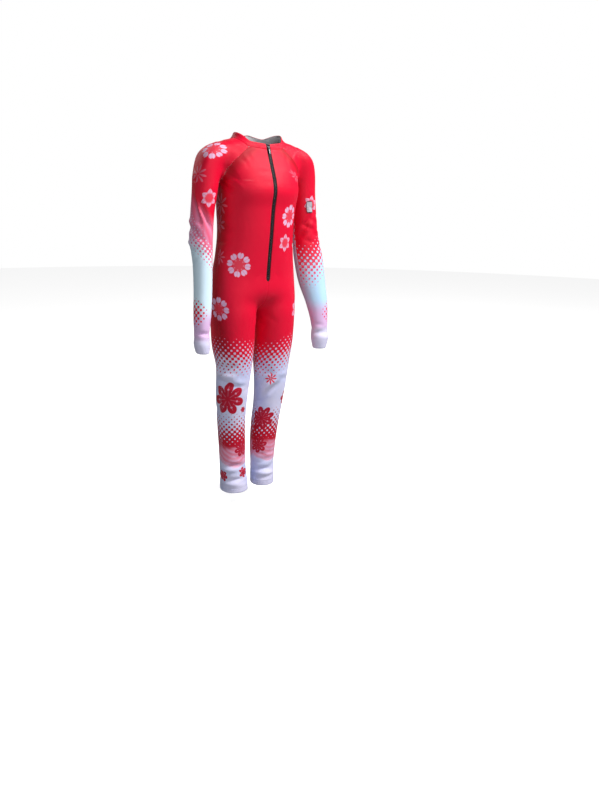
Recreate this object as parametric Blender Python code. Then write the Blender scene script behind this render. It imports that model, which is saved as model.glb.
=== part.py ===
"""One-piece ski race suit for a child of 140 cm, in its worn form with nobody inside.

The suit is sewn from four quarter panels, two raglan sleeves, a neckband and two ankle bands, and
closes with a centre-front zip. Every panel is a thin wall that follows one smooth body form. That form
is a set of upright columns of sections, one for the torso, each leg, each arm and the neck, blended
where they meet, with the main folds added to the columns.

Lengths are metres. +X is the wearer's left, -Y the front, +Z up. The origin is at the middle of the
shoulder line, where the suit is held.
"""
import math

import bpy
import numpy as np

# Cloth and seams
WALL = 0.0015            # thickness of a panel
SEAM_HALF_GAP = 0.00022  # each panel stops this far short of a seam, measured along its rows
EDGE_HALF_GAP = 0.00018  # the same at the neckline and above the ankle band
ARMPIT_TRIM = (0.00040, 0.00060, 0.00040)   # wider trims at the armpit row and the two over it
ARMPIT_DROP = 0.0010     # the front and back panels end this far under the sleeve's armpit point
FINE_RAYS = 72           # points looked up on a row before it is divided evenly

# Heights that bound the panels
HEM_BOTTOM = -1.1060
HEM_TOP = -1.0910
CUFF_RIGHT, CUFF_LEFT = -0.6160, -0.6400
COLLAR_HEIGHT = 0.0160

# Zip
ZIP_END = -0.4125        # lower end of the front opening
ZIP_HALF_OPEN = 0.0065   # half of the opening between the front panels
TAPE_INNER, TAPE_OUTER = 0.0032, 0.0118   # the tape runs between these distances from the centre
TAPE_DEPTH, TAPE_WALL = 0.0022, 0.0010    # below the cloth's outer face, and thickness
CHAIN_HALF = 0.0028
CHAIN_FACE, CHAIN_WALL = 0.0012, 0.0018
STOP_LENGTH = 0.0045
SLIDER_TOP = 0.0060      # slider's upper end below the top edge of the neckband
PULL_REST_TILT = math.radians(1.5)

# Panel grids
PANEL_COLUMNS = 8
SLEEVE_COLUMNS = 16
RAGLAN_ROWS = 9
COLLAR_COLUMNS = 56
# from z, to z, rows
LEG_SPANS = ((HEM_TOP, -1.040, 4), (-1.040, -0.850, 7), (-0.850, -0.800, 3), (-0.800, -0.690, 7),
             (-0.690, -0.560, 5), (-0.560, None, 4))
# height above the crotch, rows up to it
HIP_SPANS = ((0.004, 1), (0.010, 1), (0.040, 3), (0.0935, 3), (0.1010, 1))
TORSO_ROWS = 10          # from there to the armpit
# height over the cuff, rows up to it, then the same from z to z
CUFF_SPAN = (0.070, 8)
SLEEVE_SPANS = ((None, -0.380, 5), (-0.380, -0.200, 10), (-0.200, None, 4))


class Sections:
    """Rows of named sizes read as smooth curves of their first column."""

    def __init__(self, names, rows):
        data = np.array(sorted(rows), float)
        self.key = data[:, 0]
        self.value = {name: data[:, i] for i, name in enumerate(names.split()) if i}
        self.slope = {}
        step = np.diff(self.key)
        for name, value in self.value.items():
            chord = np.diff(value) / step
            slope = np.empty(len(value))
            slope[0], slope[-1] = chord[0], chord[-1]
            slope[1:-1] = (chord[:-1] * step[1:] + chord[1:] * step[:-1]) / (step[:-1] + step[1:])
            self.slope[name] = slope

    def read(self, at):
        """Every column at the places given, held constant past both ends."""
        at = np.clip(np.asarray(at, float), self.key[0], self.key[-1])
        i = np.clip(np.searchsorted(self.key, at) - 1, 0, len(self.key) - 2)
        step = self.key[i + 1] - self.key[i]
        t = (at - self.key[i]) / step
        a = 2 * t ** 3 - 3 * t ** 2 + 1
        b = t ** 3 - 2 * t ** 2 + t
        c = t ** 3 - t ** 2
        return {name: a * value[i] + (1 - a) * value[i + 1]
                + step * (b * self.slope[name][i] + c * self.slope[name][i + 1])
                for name, value in self.value.items()}


TORSO = Sections("z half_x front back y power", (
    (0.020, 0.150, 0.040, 0.050, 0.016, 2.3),
    (-0.030, 0.140, 0.056, 0.068, 0.014, 2.3),
    (-0.070, 0.130, 0.074, 0.080, 0.012, 2.4),
    (-0.110, 0.126, 0.091, 0.085, 0.011, 2.4),
    (-0.150, 0.125, 0.102, 0.085, 0.012, 2.4),
    (-0.200, 0.122, 0.098, 0.082, 0.018, 2.3),
    (-0.280, 0.120, 0.092, 0.078, 0.022, 2.2),
    (-0.340, 0.126, 0.087, 0.084, 0.026, 2.2),
    (-0.400, 0.135, 0.083, 0.094, 0.030, 2.2),
    (-0.460, 0.139, 0.085, 0.101, 0.034, 2.2),
    (-0.520, 0.140, 0.080, 0.096, 0.034, 2.2)))

# The legs, measured out from the centre plane. The right one stands further out and is wider by the
# last two columns
LEG = Sections("z x half_x front back y power right_out right_wider", (
    (-0.360, 0.060, 0.045, 0.045, 0.050, 0.032, 2.0, 0.000, 0.000),
    (-0.440, 0.066, 0.062, 0.068, 0.078, 0.034, 2.1, 0.000, 0.000),
    (-0.500, 0.0705, 0.0675, 0.076, 0.088, 0.034, 2.1, 0.000, 0.000),
    (-0.560, 0.0720, 0.0660, 0.073, 0.077, 0.035, 2.1, 0.000, 0.000),
    (-0.620, 0.0720, 0.0635, 0.067, 0.069, 0.036, 2.1, 0.000, 0.000),
    (-0.680, 0.0710, 0.0580, 0.059, 0.059, 0.039, 2.1, -0.003, -0.002),
    (-0.760, 0.0695, 0.0510, 0.053, 0.050, 0.045, 2.1, 0.003, 0.000),
    (-0.820, 0.0665, 0.0470, 0.047, 0.050, 0.050, 2.1, 0.006, 0.000),
    (-0.890, 0.0600, 0.0450, 0.042, 0.051, 0.056, 2.1, 0.009, -0.001),
    (-0.960, 0.0540, 0.0430, 0.039, 0.046, 0.060, 2.1, 0.011, 0.000),
    (-1.030, 0.0510, 0.0395, 0.038, 0.041, 0.061, 2.1, 0.012, 0.003),
    (-1.070, 0.0500, 0.0390, 0.040, 0.042, 0.060, 2.1, 0.011, 0.005),
    (-1.110, 0.0500, 0.0390, 0.041, 0.043, 0.060, 2.1, 0.010, 0.006)))

# The arms. turn is the angle of the longer half axis from the side towards the front, degrees
ARM_NAMES = "z x y long short turn"
ARM_RIGHT = Sections(ARM_NAMES, (
    (0.020, 0.140, 0.012, 0.050, 0.050, 0.0),
    (-0.040, 0.154, 0.011, 0.046, 0.046, 0.0),
    (-0.090, 0.165, 0.011, 0.040, 0.042, 0.0),
    (-0.150, 0.172, 0.012, 0.036, 0.039, 0.0),
    (-0.220, 0.181, 0.014, 0.033, 0.036, 0.0),
    (-0.290, 0.187, 0.014, 0.033, 0.036, 0.0),
    (-0.350, 0.187, 0.008, 0.028, 0.032, 0.0),
    (-0.430, 0.192, -0.001, 0.026, 0.029, 0.0),
    (-0.500, 0.200, -0.010, 0.025, 0.028, 0.0),
    (-0.565, 0.207, -0.016, 0.0215, 0.025, 0.0),
    (-0.598, 0.208, -0.019, 0.0220, 0.026, 0.0),
    (-0.622, 0.207, -0.022, 0.0160, 0.020, 0.0)))
ARM_LEFT = Sections(ARM_NAMES, (
    (0.020, 0.140, 0.012, 0.050, 0.050, 0.0),
    (-0.040, 0.154, 0.012, 0.046, 0.046, 0.0),
    (-0.090, 0.164, 0.014, 0.041, 0.042, 0.0),
    (-0.150, 0.171, 0.017, 0.038, 0.038, 10.0),
    (-0.220, 0.179, 0.020, 0.039, 0.036, 25.0),
    (-0.290, 0.187, 0.021, 0.042, 0.036, 30.0),
    (-0.350, 0.192, 0.012, 0.046, 0.034, 30.0),
    (-0.430, 0.199, -0.002, 0.043, 0.032, 30.0),
    (-0.500, 0.209, -0.018, 0.034, 0.029, 30.0),
    (-0.570, 0.214, -0.028, 0.0265, 0.025, 20.0),
    (-0.612, 0.213, -0.032, 0.0275, 0.026, 20.0),
    (-0.646, 0.211, -0.034, 0.0190, 0.018, 20.0)))

NECK = Sections("z half_x front back y", (
    (-0.080, 0.0900, 0.066, 0.078, 0.006),
    (-0.045, 0.0850, 0.058, 0.072, 0.006),
    (-0.025, 0.0810, 0.053, 0.066, 0.007),
    (0.000, 0.0755, 0.049, 0.059, 0.008),
    (0.020, 0.0700, 0.046, 0.054, 0.009),
    (0.050, 0.0600, 0.043, 0.050, 0.012)))

# Height of the shoulders over the distance from the centre plane
SHOULDER = Sections("x z", (
    (0.000, 0.002), (0.050, -0.006), (0.080, -0.012), (0.110, -0.018), (0.140, -0.027),
    (0.165, -0.039), (0.185, -0.060), (0.200, -0.100)))
SHOULDER_ROUND = 5.5     # fall of the shoulder towards front and back, per metre

# How wide the blends are over height: arms to torso, and leg to leg
BLEND = Sections("z arm leg", (
    (0.050, 0.050, 0.030), (-0.110, 0.045, 0.030), (-0.150, 0.016, 0.030), (-0.190, 0.003, 0.030),
    (-0.300, 0.002, 0.030), (-0.460, 0.002, 0.020), (-0.500, 0.002, 0.004), (-0.540, 0.001, 0.001),
    (-0.700, 0.001, 0.001)))
CROTCH_FLOOR, CROTCH_ARCH = -0.502, 5.0   # base of the torso and its rise to front and back, per metre
NECK_BLEND = 0.022
HIP_BLEND = 0.030

# The raglan seams and the sleeve's rows above the armpit. share runs from the armpit to the neck, a rise
# is the share of the height between the two. The core is the point inside the shoulder that a row is
# swept round, tilt the way from it to the ridge
RAGLAN = Sections("share front_x front_rise back_x back_rise core_x core_rise tilt", (
    (0.00, 0.1285, 0.00, 0.1285, 0.00, 0.170, 0.00, 0.0),
    (0.25, 0.1250, 0.29, 0.1250, 0.28, 0.157, 0.41, 12.0),
    (0.50, 0.1110, 0.55, 0.1110, 0.54, 0.131, 0.76, 34.0),
    (0.75, 0.0870, 0.78, 0.0870, 0.78, 0.102, 0.93, 62.0),
    (1.00, 0.0600, 1.00, 0.0580, 1.00, 0.078, 1.00, 84.0)))
RAGLAN_TOP = {"front": -0.036, "back": -0.022, "core": -0.062}
NECK_FRONT, NECK_BACK = -0.043, -0.010    # neckline height at the centre front and centre back
ARMPIT_GUESS = -0.145

# Seam between front and back, degrees from the front towards the side
SIDE_SEAM = Sections("z angle", (
    (-1.090, 80.0), (-0.900, 78.0), (-0.760, 72.0), (-0.650, 66.0), (-0.560, 68.0), (-0.460, 80.0),
    (-0.380, 88.0), (-0.150, 90.0)))

# Main folds. angle is degrees from the front towards the wearer's outer side, slant degrees by which
# the fold climbs on the way there, raise metres, troughs negative
FOLD_NAMES = ("limb", "z", "angle", "length", "width", "raise_", "slant")
FOLDS = (
    ("arm_right", -0.235, 40.0, 0.050, 0.0065, -0.0030, 42.0),
    ("arm_right", -0.262, 62.0, 0.052, 0.0060, -0.0034, 36.0),
    ("arm_right", -0.285, 35.0, 0.046, 0.0065, -0.0032, 30.0),
    ("arm_right", -0.300, 105.0, 0.042, 0.0080, 0.0040, 10.0),
    ("arm_right", -0.318, 80.0, 0.046, 0.0060, -0.0034, -14.0),
    ("arm_right", -0.270, 190.0, 0.044, 0.0065, -0.0028, -20.0),
    ("arm_right", -0.572, 40.0, 0.070, 0.0050, -0.0030, 4.0),
    ("arm_left", -0.243, 25.0, 0.044, 0.0060, -0.0030, -30.0),
    ("arm_left", -0.258, -15.0, 0.046, 0.0060, -0.0030, -26.0),
    ("arm_left", -0.282, 30.0, 0.044, 0.0060, -0.0026, -22.0),
    ("arm_left", -0.300, 200.0, 0.044, 0.0070, -0.0028, 16.0),
    ("arm_left", -0.590, 0.0, 0.070, 0.0050, -0.0030, 0.0),
    ("leg_right", -0.724, 20.0, 0.060, 0.0070, 0.0030, 4.0),
    ("leg_right", -0.738, 15.0, 0.060, 0.0060, -0.0026, 2.0),
    ("leg_right", -0.702, 30.0, 0.056, 0.0080, -0.0024, 6.0),
    ("leg_right", -0.760, 190.0, 0.060, 0.0070, -0.0028, 4.0),
    ("leg_right", -1.012, 20.0, 0.062, 0.0070, -0.0032, 8.0),
    ("leg_right", -1.040, 60.0, 0.058, 0.0070, -0.0030, -8.0),
    ("leg_right", -1.050, -30.0, 0.050, 0.0070, -0.0026, 10.0),
    ("leg_right", -1.026, 190.0, 0.060, 0.0080, -0.0030, 4.0),
    ("leg_left", -0.755, -20.0, 0.056, 0.0065, -0.0030, 34.0),
    ("leg_left", -0.735, 30.0, 0.052, 0.0070, -0.0022, -8.0),
    ("leg_left", -0.760, 180.0, 0.060, 0.0070, -0.0028, -4.0),
    ("leg_left", -1.012, -10.0, 0.062, 0.0070, -0.0032, -6.0),
    ("leg_left", -1.034, 40.0, 0.052, 0.0070, -0.0028, 10.0),
    ("leg_left", -1.030, 185.0, 0.060, 0.0080, -0.0030, -4.0),
)


def smooth_step(value, low, high):
    t = np.clip((value - low) / (high - low), 0, 1)
    return t * t * (3 - 2 * t)


def smooth_union(a, b, width):
    share = np.maximum(width - np.abs(a - b), 0) / width
    return np.minimum(a, b) - share ** 3 * width / 6


def smooth_cut(a, b, width):
    return -smooth_union(-a, -b, width)


def column(dx, dy, half_x, front, back, power):
    """Distance from the wall of a section, measured along the line from its centre."""
    depth = np.where(dy < 0, front, back)
    ratio = ((np.abs(dx) / half_x) ** power + (np.abs(dy) / depth) ** power) ** (1 / power)
    ratio = np.maximum(ratio, 1e-4)
    return np.hypot(dx, dy) * (1 - 1 / ratio)


def folds_on(limb, angle, radius, z):
    """Outward shift of a limb's wall from the folds listed for it."""
    shift = np.zeros_like(z)
    for row in FOLDS:
        fold = dict(zip(FOLD_NAMES, row))
        if fold["limb"] != limb:
            continue
        turn = (angle - math.radians(fold["angle"]) + math.pi) % (2 * math.pi) - math.pi
        s, t = turn * radius, z - fold["z"]
        slant = math.radians(fold["slant"])
        along = s * math.cos(slant) + t * math.sin(slant)
        across = -s * math.sin(slant) + t * math.cos(slant)
        taper = np.clip(1 - (along / (0.75 * fold["length"])) ** 2, 0, 1) ** 2
        shift += fold["raise_"] * taper * np.exp(-(across / fold["width"]) ** 2)
    return shift


def leg_row(z, side):
    """The leg's section at a height, with the right leg's own place and width."""
    row = LEG.read(z)
    if side < 0:
        row["x"] = row["x"] + row["right_out"]
        for name in ("half_x", "front", "back"):
            row[name] = row[name] + row["right_wider"]
    return row


def leg(x, y, z, side):
    row = leg_row(z, side)
    dx, dy = x * side - row["x"], y - row["y"]
    wall = column(dx, dy, row["half_x"], row["front"], row["back"], row["power"])
    name = "leg_left" if side > 0 else "leg_right"
    return wall - folds_on(name, np.arctan2(dx, -dy), row["half_x"], z)


def arm(x, y, z, side):
    row = (ARM_LEFT if side > 0 else ARM_RIGHT).read(z)
    dx, dy = x * side - row["x"], y - row["y"]
    turn = np.radians(row["turn"])
    across = dx * np.cos(turn) - dy * np.sin(turn)
    ahead = dx * np.sin(turn) + dy * np.cos(turn)
    wall = column(across, ahead, row["long"], row["short"], row["short"], 2.1)
    name = "arm_left" if side > 0 else "arm_right"
    return wall - folds_on(name, np.arctan2(dx, -dy), row["short"], z)


def body(points):
    """Signed distance, near the surface, from the outer face of the suit."""
    x, y, z = np.asarray(points, float).T
    row = TORSO.read(z)
    trunk = column(x, y - row["y"], row["half_x"], row["front"], row["back"], row["power"])
    floor = CROTCH_FLOOR - z + CROTCH_ARCH * (y - 0.036) ** 2
    trunk = smooth_cut(trunk, floor, 0.050)
    blend = BLEND.read(z)
    legs = smooth_union(leg(x, y, z, 1), leg(x, y, z, -1), blend["leg"])
    shape = smooth_union(trunk, legs, HIP_BLEND)
    for side in (1, -1):
        shape = smooth_union(shape, arm(x, y, z, side), blend["arm"])
    roof = z - SHOULDER.read(np.abs(x))["z"] + SHOULDER_ROUND * (y - 0.014) ** 2
    shape = smooth_cut(shape, roof * 0.95, 0.030)
    row = NECK.read(z)
    throat = column(x, y - row["y"], row["half_x"], row["front"], row["back"], 2.0)
    throat = np.maximum(throat, -0.090 - z)
    return smooth_union(shape, throat, NECK_BLEND)


def normals(points, step=0.0004):
    points = np.asarray(points, float)
    slope = np.empty_like(points)
    for axis in range(3):
        shift = np.zeros(3)
        shift[axis] = step
        slope[:, axis] = body(points + shift) - body(points - shift)
    return slope / np.linalg.norm(slope, axis=1)[:, None]


def cast(start, heading, fences=(), reach=0.30, steps=60):
    """Points where rays from inside the body first leave it, or cross a fence.

    A fence is a plane given as a point on it and its normal. It keeps a ray that grazes a hollow from
    being followed into the next limb.
    """
    def beyond(points):
        out = body(points) > 0
        for point, normal in fences:
            out |= (points - point) @ np.asarray(normal, float) > 1e-9
        return out

    start, heading = np.broadcast_arrays(np.atleast_2d(start), np.atleast_2d(heading))
    heading = heading / np.linalg.norm(heading, axis=1)[:, None]
    t = np.linspace(0, reach, steps)
    path = start[:, None, :] + heading[:, None, :] * t[None, :, None]
    outside = beyond(path.reshape(-1, 3)).reshape(len(start), steps)
    outside[:, 0] = False
    first = np.where(outside.any(axis=1), outside.argmax(axis=1), steps - 1)
    low, high = t[first - 1], t[first]
    for _ in range(26):
        middle = (low + high) / 2
        out = beyond(start + heading * middle[:, None])
        low, high = np.where(out, low, middle), np.where(out, middle, high)
    return start + heading * ((low + high) / 2)[:, None]


def even(path, count, trim_start=SEAM_HALF_GAP, trim_end=SEAM_HALF_GAP):
    """The path divided evenly into count steps, short of both ends by the trims."""
    gone = np.concatenate(([0], np.cumsum(np.linalg.norm(np.diff(path, axis=0), axis=1))))
    at = np.linspace(trim_start, gone[-1] - trim_end, count + 1)
    return np.stack([np.interp(at, gone, path[:, axis]) for axis in range(3)], axis=1)


def spaced(spans, last):
    """Heights from a table of spans, without the top end of the last one."""
    out = []
    for low, high, count in spans:
        high = last if high is None else high
        out += list(np.linspace(low, high, count, endpoint=False))
    return out


def crotch_point():
    """Lowest point of the body in the centre plane."""
    y = np.linspace(-0.05, 0.11, 161)
    low, high = -0.62, -0.42
    for _ in range(40):
        z = (low + high) / 2
        inside = body(np.stack([0 * y, y, 0 * y + z], axis=1)) < 0
        low, high = (low, z) if inside.any() else (z, high)
    value = body(np.stack([0 * y, y, 0 * y + high], axis=1))
    return np.array([0.0, y[value.argmin()], high])


def row_centre(z, crotch, side):
    """Point inside the half body that a panel row is swept round."""
    spread = 1 - smooth_step(z, crotch[2] + 0.012, crotch[2] + 0.120)
    limb, trunk = leg_row(z, side), TORSO.read(z)
    x = limb["x"] * spread * side
    y = limb["y"] * spread + trunk["y"] * (1 - spread)
    return np.array([float(x), float(y), z])


def gap_plane(z, side):
    """Distance from the centre plane to the middle of the gap between torso and arm."""
    table = ARM_LEFT if side > 0 else ARM_RIGHT
    limb = table.read(z)
    return 0.5 * (TORSO.read(z)["half_x"] + limb["x"] - limb["long"])


def sweep(centre, first, last, through, z_first, z_last, fences=()):
    """Fine path on the surface from angle first to last round the centre, by level rays."""
    angle = np.linspace(first, last, FINE_RAYS + 1)
    z = np.linspace(z_first, z_last, FINE_RAYS + 1)
    start = np.stack([0 * z + centre[0], 0 * z + centre[1], z], axis=1)
    heading = np.stack([np.sin(angle) * through, -np.cos(angle), 0 * z], axis=1)
    return cast(start, heading, fences)


def angle_of(point, centre, side):
    return math.atan2((point[0] - centre[0]) * side, -(point[1] - centre[1]))


def half_body(side, crotch, armpit, raglan):
    """Rows of the front and of the back panel of one side, each from the centre to the side."""
    leg_heights = spaced(LEG_SPANS, crotch[2])
    hip_heights, base = [crotch[2]], 0.0
    for height, count in HIP_SPANS:
        hip_heights += list(crotch[2] + np.linspace(base, height, count + 1)[1:])
        base = height
    top = armpit[2] - ARMPIT_DROP
    torso_heights = list(np.linspace(hip_heights[-1], top, TORSO_ROWS + 1)[1:])
    fronts, backs = [], []
    outward = np.array([side, 0.0, 0.0])
    middle = (np.zeros(3), -outward)
    leg_heights[0] += EDGE_HALF_GAP
    for z in leg_heights:
        centre = row_centre(z, crotch, side)
        seam = math.radians(float(SIDE_SEAM.read(z)["angle"]))
        fronts.append(even(sweep(centre, -math.pi / 2, seam, side, z, z, [middle]), PANEL_COLUMNS))
        backs.append(even(sweep(centre, 1.5 * math.pi, seam, side, z, z, [middle]), PANEL_COLUMNS))
    for z in hip_heights + torso_heights:
        centre = row_centre(z, crotch, side)
        seam = math.radians(float(SIDE_SEAM.read(z)["angle"]))
        start = np.array([[0.0, crotch[1], z]])
        if z == crotch[2]:
            front_mid = back_mid = crotch
        else:
            front_mid = cast(start, [[0.0, -1.0, 0.0]])[0]
            back_mid = cast(start, [[0.0, 1.0, 0.0]])[0]
        first = angle_of(front_mid, centre, side)
        last = angle_of(back_mid, centre, side) % (2 * math.pi)
        fences = [middle, (outward * gap_plane(z, side), outward)]
        front = sweep(centre, first, seam, side, z, z, fences)
        back = sweep(centre, last, seam, side, z, z, fences)
        front[0], back[0] = front_mid, back_mid
        trim = ARMPIT_TRIM[0] if z == top else SEAM_HALF_GAP
        fronts.append(even(open_front(front, side), PANEL_COLUMNS, trim_end=trim))
        backs.append(even(back, PANEL_COLUMNS, trim_end=trim))
    for j in range(1, RAGLAN_ROWS + 1):
        share = raglan["share"][j]
        trim = ARMPIT_TRIM[j] if j < len(ARMPIT_TRIM) else SEAM_HALF_GAP
        for rows, seam_points, neck_z, facing in ((fronts, raglan["front"], NECK_FRONT, -1.0),
                                                  (backs, raglan["back"], NECK_BACK, 1.0)):
            z_mid = armpit[2] + (neck_z - armpit[2]) * share
            torso_y = float(TORSO.read(z_mid)["y"])
            centre = np.array([0.0, torso_y, z_mid])
            mid = cast([[0.0, torso_y, z_mid]], [[0.0, facing, 0.0]])[0]
            end = seam_points[j]
            first = 0.0 if facing < 0 else math.pi
            fences = [middle, (end, outward)]
            path = sweep(centre, first, angle_of(end, centre, side), side, z_mid, end[2], fences)
            path[0], path[-1] = mid, end
            if facing < 0:
                path = open_front(path, side)
            rows.append(even(path, PANEL_COLUMNS, trim_end=trim))
    return fronts, backs


def open_front(path, side):
    """The path without the stretch taken up by the zip opening."""
    z = path[0, 2]
    half = ZIP_HALF_OPEN * float(smooth_step(z, ZIP_END - 0.001, ZIP_END + 0.004))
    if half < SEAM_HALF_GAP:
        return path
    out = path[:, 0] * side
    k = int(np.argmax(out > half))
    t = (half - out[k - 1]) / (out[k] - out[k - 1])
    cut = path[k - 1] + t * (path[k] - path[k - 1])
    return np.vstack([cut[None], path[k:]])


def armpit_point(side):
    """Top of the hollow between torso and arm."""
    place = np.array([0.0, 0.012, ARMPIT_GUESS])
    for _ in range(12):
        place[0] = gap_plane(place[2], side) * side
        place[2] = cast([[place[0], place[1], -0.105]], [[0.0, 0.0, -1.0]], steps=200)[0, 2]
    return place


def raglan_points(side, armpit):
    """The front and back raglan seams, and the point on the shoulder ridge for each sleeve row."""
    share = np.linspace(0, 1, RAGLAN_ROWS + 1) ** 1.4
    row = RAGLAN.read(share)
    middle = 0.012 + 0 * share
    out = {"share": share}
    place = {}
    for name, top in RAGLAN_TOP.items():
        z = armpit[2] + row[name + "_rise"] * (top - armpit[2])
        place[name] = np.stack([row[name + "_x"] * side, middle, z], axis=1)
    for name, facing in (("front", -1.0), ("back", 1.0)):
        out[name] = cast(place[name], [[0.0, facing, 0.0]])
        out[name][0] = armpit
    core = place["core"]
    tilt = np.radians(row["tilt"])
    out["core"] = core
    out["ridge"] = cast(core, np.stack([np.cos(tilt) * side, 0 * tilt, np.sin(tilt)], axis=1))
    return out


def sleeve_rows(side, armpit, raglan):
    """Rows of a sleeve from the cuff up. Below the armpit a row closes on itself at its ends."""
    table = ARM_LEFT if side > 0 else ARM_RIGHT
    cuff = CUFF_LEFT if side > 0 else CUFF_RIGHT
    height, count = CUFF_SPAN
    spans = ((cuff, cuff + height, count), (cuff + height,) + SLEEVE_SPANS[0][1:]) + SLEEVE_SPANS[1:]
    rows = []
    for z in spaced(spans, armpit[2]) + [armpit[2]]:
        place = table.read(z)
        centre = np.array([float(place["x"]) * side, float(place["y"]), z])
        if z == armpit[2]:
            first = angle_of(armpit, centre, side)
        else:
            first = -math.pi / 2
        outward = np.array([side, 0.0, 0.0])
        fences = [(outward * gap_plane(z, side), -outward)]
        path = sweep(centre, first, first + 2 * math.pi, side, z, z, fences)
        if z == armpit[2]:
            path[0] = path[-1] = armpit
        rows.append(even(path, SLEEVE_COLUMNS, 0, 0))
    for j in range(1, RAGLAN_ROWS + 1):
        front, back, ridge = (raglan[name][j] for name in ("front", "back", "ridge"))
        across = np.cross(back - front, ridge - (front + back) / 2) * side
        across /= np.linalg.norm(across)
        core = raglan["core"][j] - np.dot(raglan["core"][j] - front, across) * across
        up = (ridge - core) / np.linalg.norm(ridge - core)
        aside = np.cross(across, up)
        if np.dot(aside, back - front) < 0:
            aside = -aside
        first, last = (math.atan2(np.dot(point - core, aside), np.dot(point - core, up))
                       for point in (front, back))
        first -= 2 * math.pi if first > 0 else 0
        last += 2 * math.pi if last < 0 else 0
        angle = np.linspace(first, last, FINE_RAYS + 1)[:, None]
        chord = (front + back) / 2
        fences = [(chord, chord - ridge)] if np.dot(core - chord, chord - ridge) < 0 else []
        path = cast(core[None], np.cos(angle) * up + np.sin(angle) * aside, fences)
        path[0], path[-1] = front, back
        trim = ARMPIT_TRIM[j] if j < len(ARMPIT_TRIM) else SEAM_HALF_GAP
        rows.append(even(path, SLEEVE_COLUMNS, trim, trim))
    return rows


# Mesh making

def clear_scene():
    for thing in list(bpy.data.objects):
        bpy.data.objects.remove(thing, do_unlink=True)


def solid(name, vertices, faces, colour, roughness=0.55, metallic=0.0):
    """A named object with its own material, faces turned outwards."""
    mesh = bpy.data.meshes.new(name)
    mesh.from_pydata([tuple(map(float, v)) for v in vertices], [], faces)
    mesh.validate()
    thing = bpy.data.objects.new(name, mesh)
    bpy.context.scene.collection.objects.link(thing)
    points = np.array([v.co[:] for v in mesh.vertices])
    volume = 0.0
    for face in mesh.polygons:
        a = points[face.vertices[0]]
        for i in range(1, len(face.vertices) - 1):
            b, c = points[face.vertices[i]], points[face.vertices[i + 1]]
            volume += np.dot(a, np.cross(b, c))
    if volume < 0:
        mesh.flip_normals()
    material = bpy.data.materials.new(name)
    material.use_nodes = True
    shader = material.node_tree.nodes["Principled BSDF"]
    shader.inputs["Base Color"].default_value = (*colour, 1.0)
    shader.inputs["Roughness"].default_value = roughness
    shader.inputs["Metallic"].default_value = metallic
    mesh.materials.append(material)
    return thing


def wall(name, outer, inner, colour, closed_rows=0, **look):
    """Closed wall between two grids of the same size. The first closed_rows rows, and the row that
    follows them, are rings whose last column is their first."""
    outer, inner = np.asarray(outer), np.asarray(inner)
    rows, columns = outer.shape[:2]
    ids = np.arange(rows * columns).reshape(rows, columns)
    if closed_rows:
        ids[:closed_rows + 1, -1] = ids[:closed_rows + 1, 0]
    used = np.unique(ids)
    place = np.full(rows * columns, -1)
    place[used] = np.arange(len(used))
    ids = place[ids]
    count = len(used)
    vertices = np.vstack([outer.reshape(-1, 3)[used], inner.reshape(-1, 3)[used]])
    faces = []
    for i in range(rows - 1):
        for k in range(columns - 1):
            a, b, c, d = ids[i, k], ids[i, k + 1], ids[i + 1, k + 1], ids[i + 1, k]
            faces.append((a, b, c, d))
            faces.append((d + count, c + count, b + count, a + count))
    rim = [(ids[0, k + 1], ids[0, k]) for k in range(columns - 1)]
    rim += [(ids[-1, k], ids[-1, k + 1]) for k in range(columns - 1)]
    rim += [(ids[i, 0], ids[i + 1, 0]) for i in range(closed_rows, rows - 1)]
    rim += [(ids[i + 1, -1], ids[i, -1]) for i in range(closed_rows, rows - 1)]
    for a, b in rim:
        faces.append((a, b, b + count, a + count))
    faces = [tuple(int(v) for v in face) for face in faces]
    return solid(name, vertices, faces, colour, **look)


def panel(name, rows, colour, closed_rows=0, face=0.0, thickness=WALL, **look):
    """Wall of a thickness whose outer face lies at a height over the body form."""
    rows = np.asarray(rows)
    flat = rows.reshape(-1, 3)
    out = normals(flat).reshape(rows.shape)
    return wall(name, rows + out * face, rows + out * (face - thickness), colour, closed_rows, **look)


def blocks(name, axes, edges, filled, origin, colour, **look):
    """Solid made of the filled cells of a small uneven grid, without inner faces.

    axes are three unit vectors, edges the three lists of cell edges along them, and filled says
    whether the cell with three given indices is solid.
    """
    shape = [len(edge) - 1 for edge in edges]
    full = {(i, j, k) for i in range(shape[0]) for j in range(shape[1]) for k in range(shape[2])
            if filled(i, j, k)}
    number, vertices, faces = {}, [], []

    def corner(index):
        if index not in number:
            number[index] = len(vertices)
            place = origin + sum(axes[a] * edges[a][index[a]] for a in range(3))
            vertices.append(place)
        return number[index]

    for cell in sorted(full):
        for axis in range(3):
            for end in (0, 1):
                other = list(cell)
                other[axis] += 1 if end else -1
                if tuple(other) in full:
                    continue
                u, v = (axis + 1) % 3, (axis + 2) % 3
                loop = []
                for du, dv in ((0, 0), (1, 0), (1, 1), (0, 1)):
                    index = list(cell)
                    index[axis] += end
                    index[u] += du
                    index[v] += dv
                    loop.append(corner(tuple(index)))
                faces.append(tuple(loop if end else loop[::-1]))
    return solid(name, vertices, faces, colour, **look)


RED = (0.62, 0.0, 0.03)
PALE = (0.62, 0.70, 0.90)
BLACK = (0.012, 0.010, 0.014)
METAL = (0.03, 0.03, 0.035)


def front_face(x, z):
    """Points on the front of the suit at the distances from the centre plane and heights given."""
    x, z = np.broadcast_arrays(np.asarray(x, float), np.asarray(z, float))
    start = np.stack([x.ravel(), 0 * x.ravel() + 0.005, z.ravel()], axis=1)
    return cast(start, [[0.0, -1.0, 0.0]]).reshape(x.shape + (3,))


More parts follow.
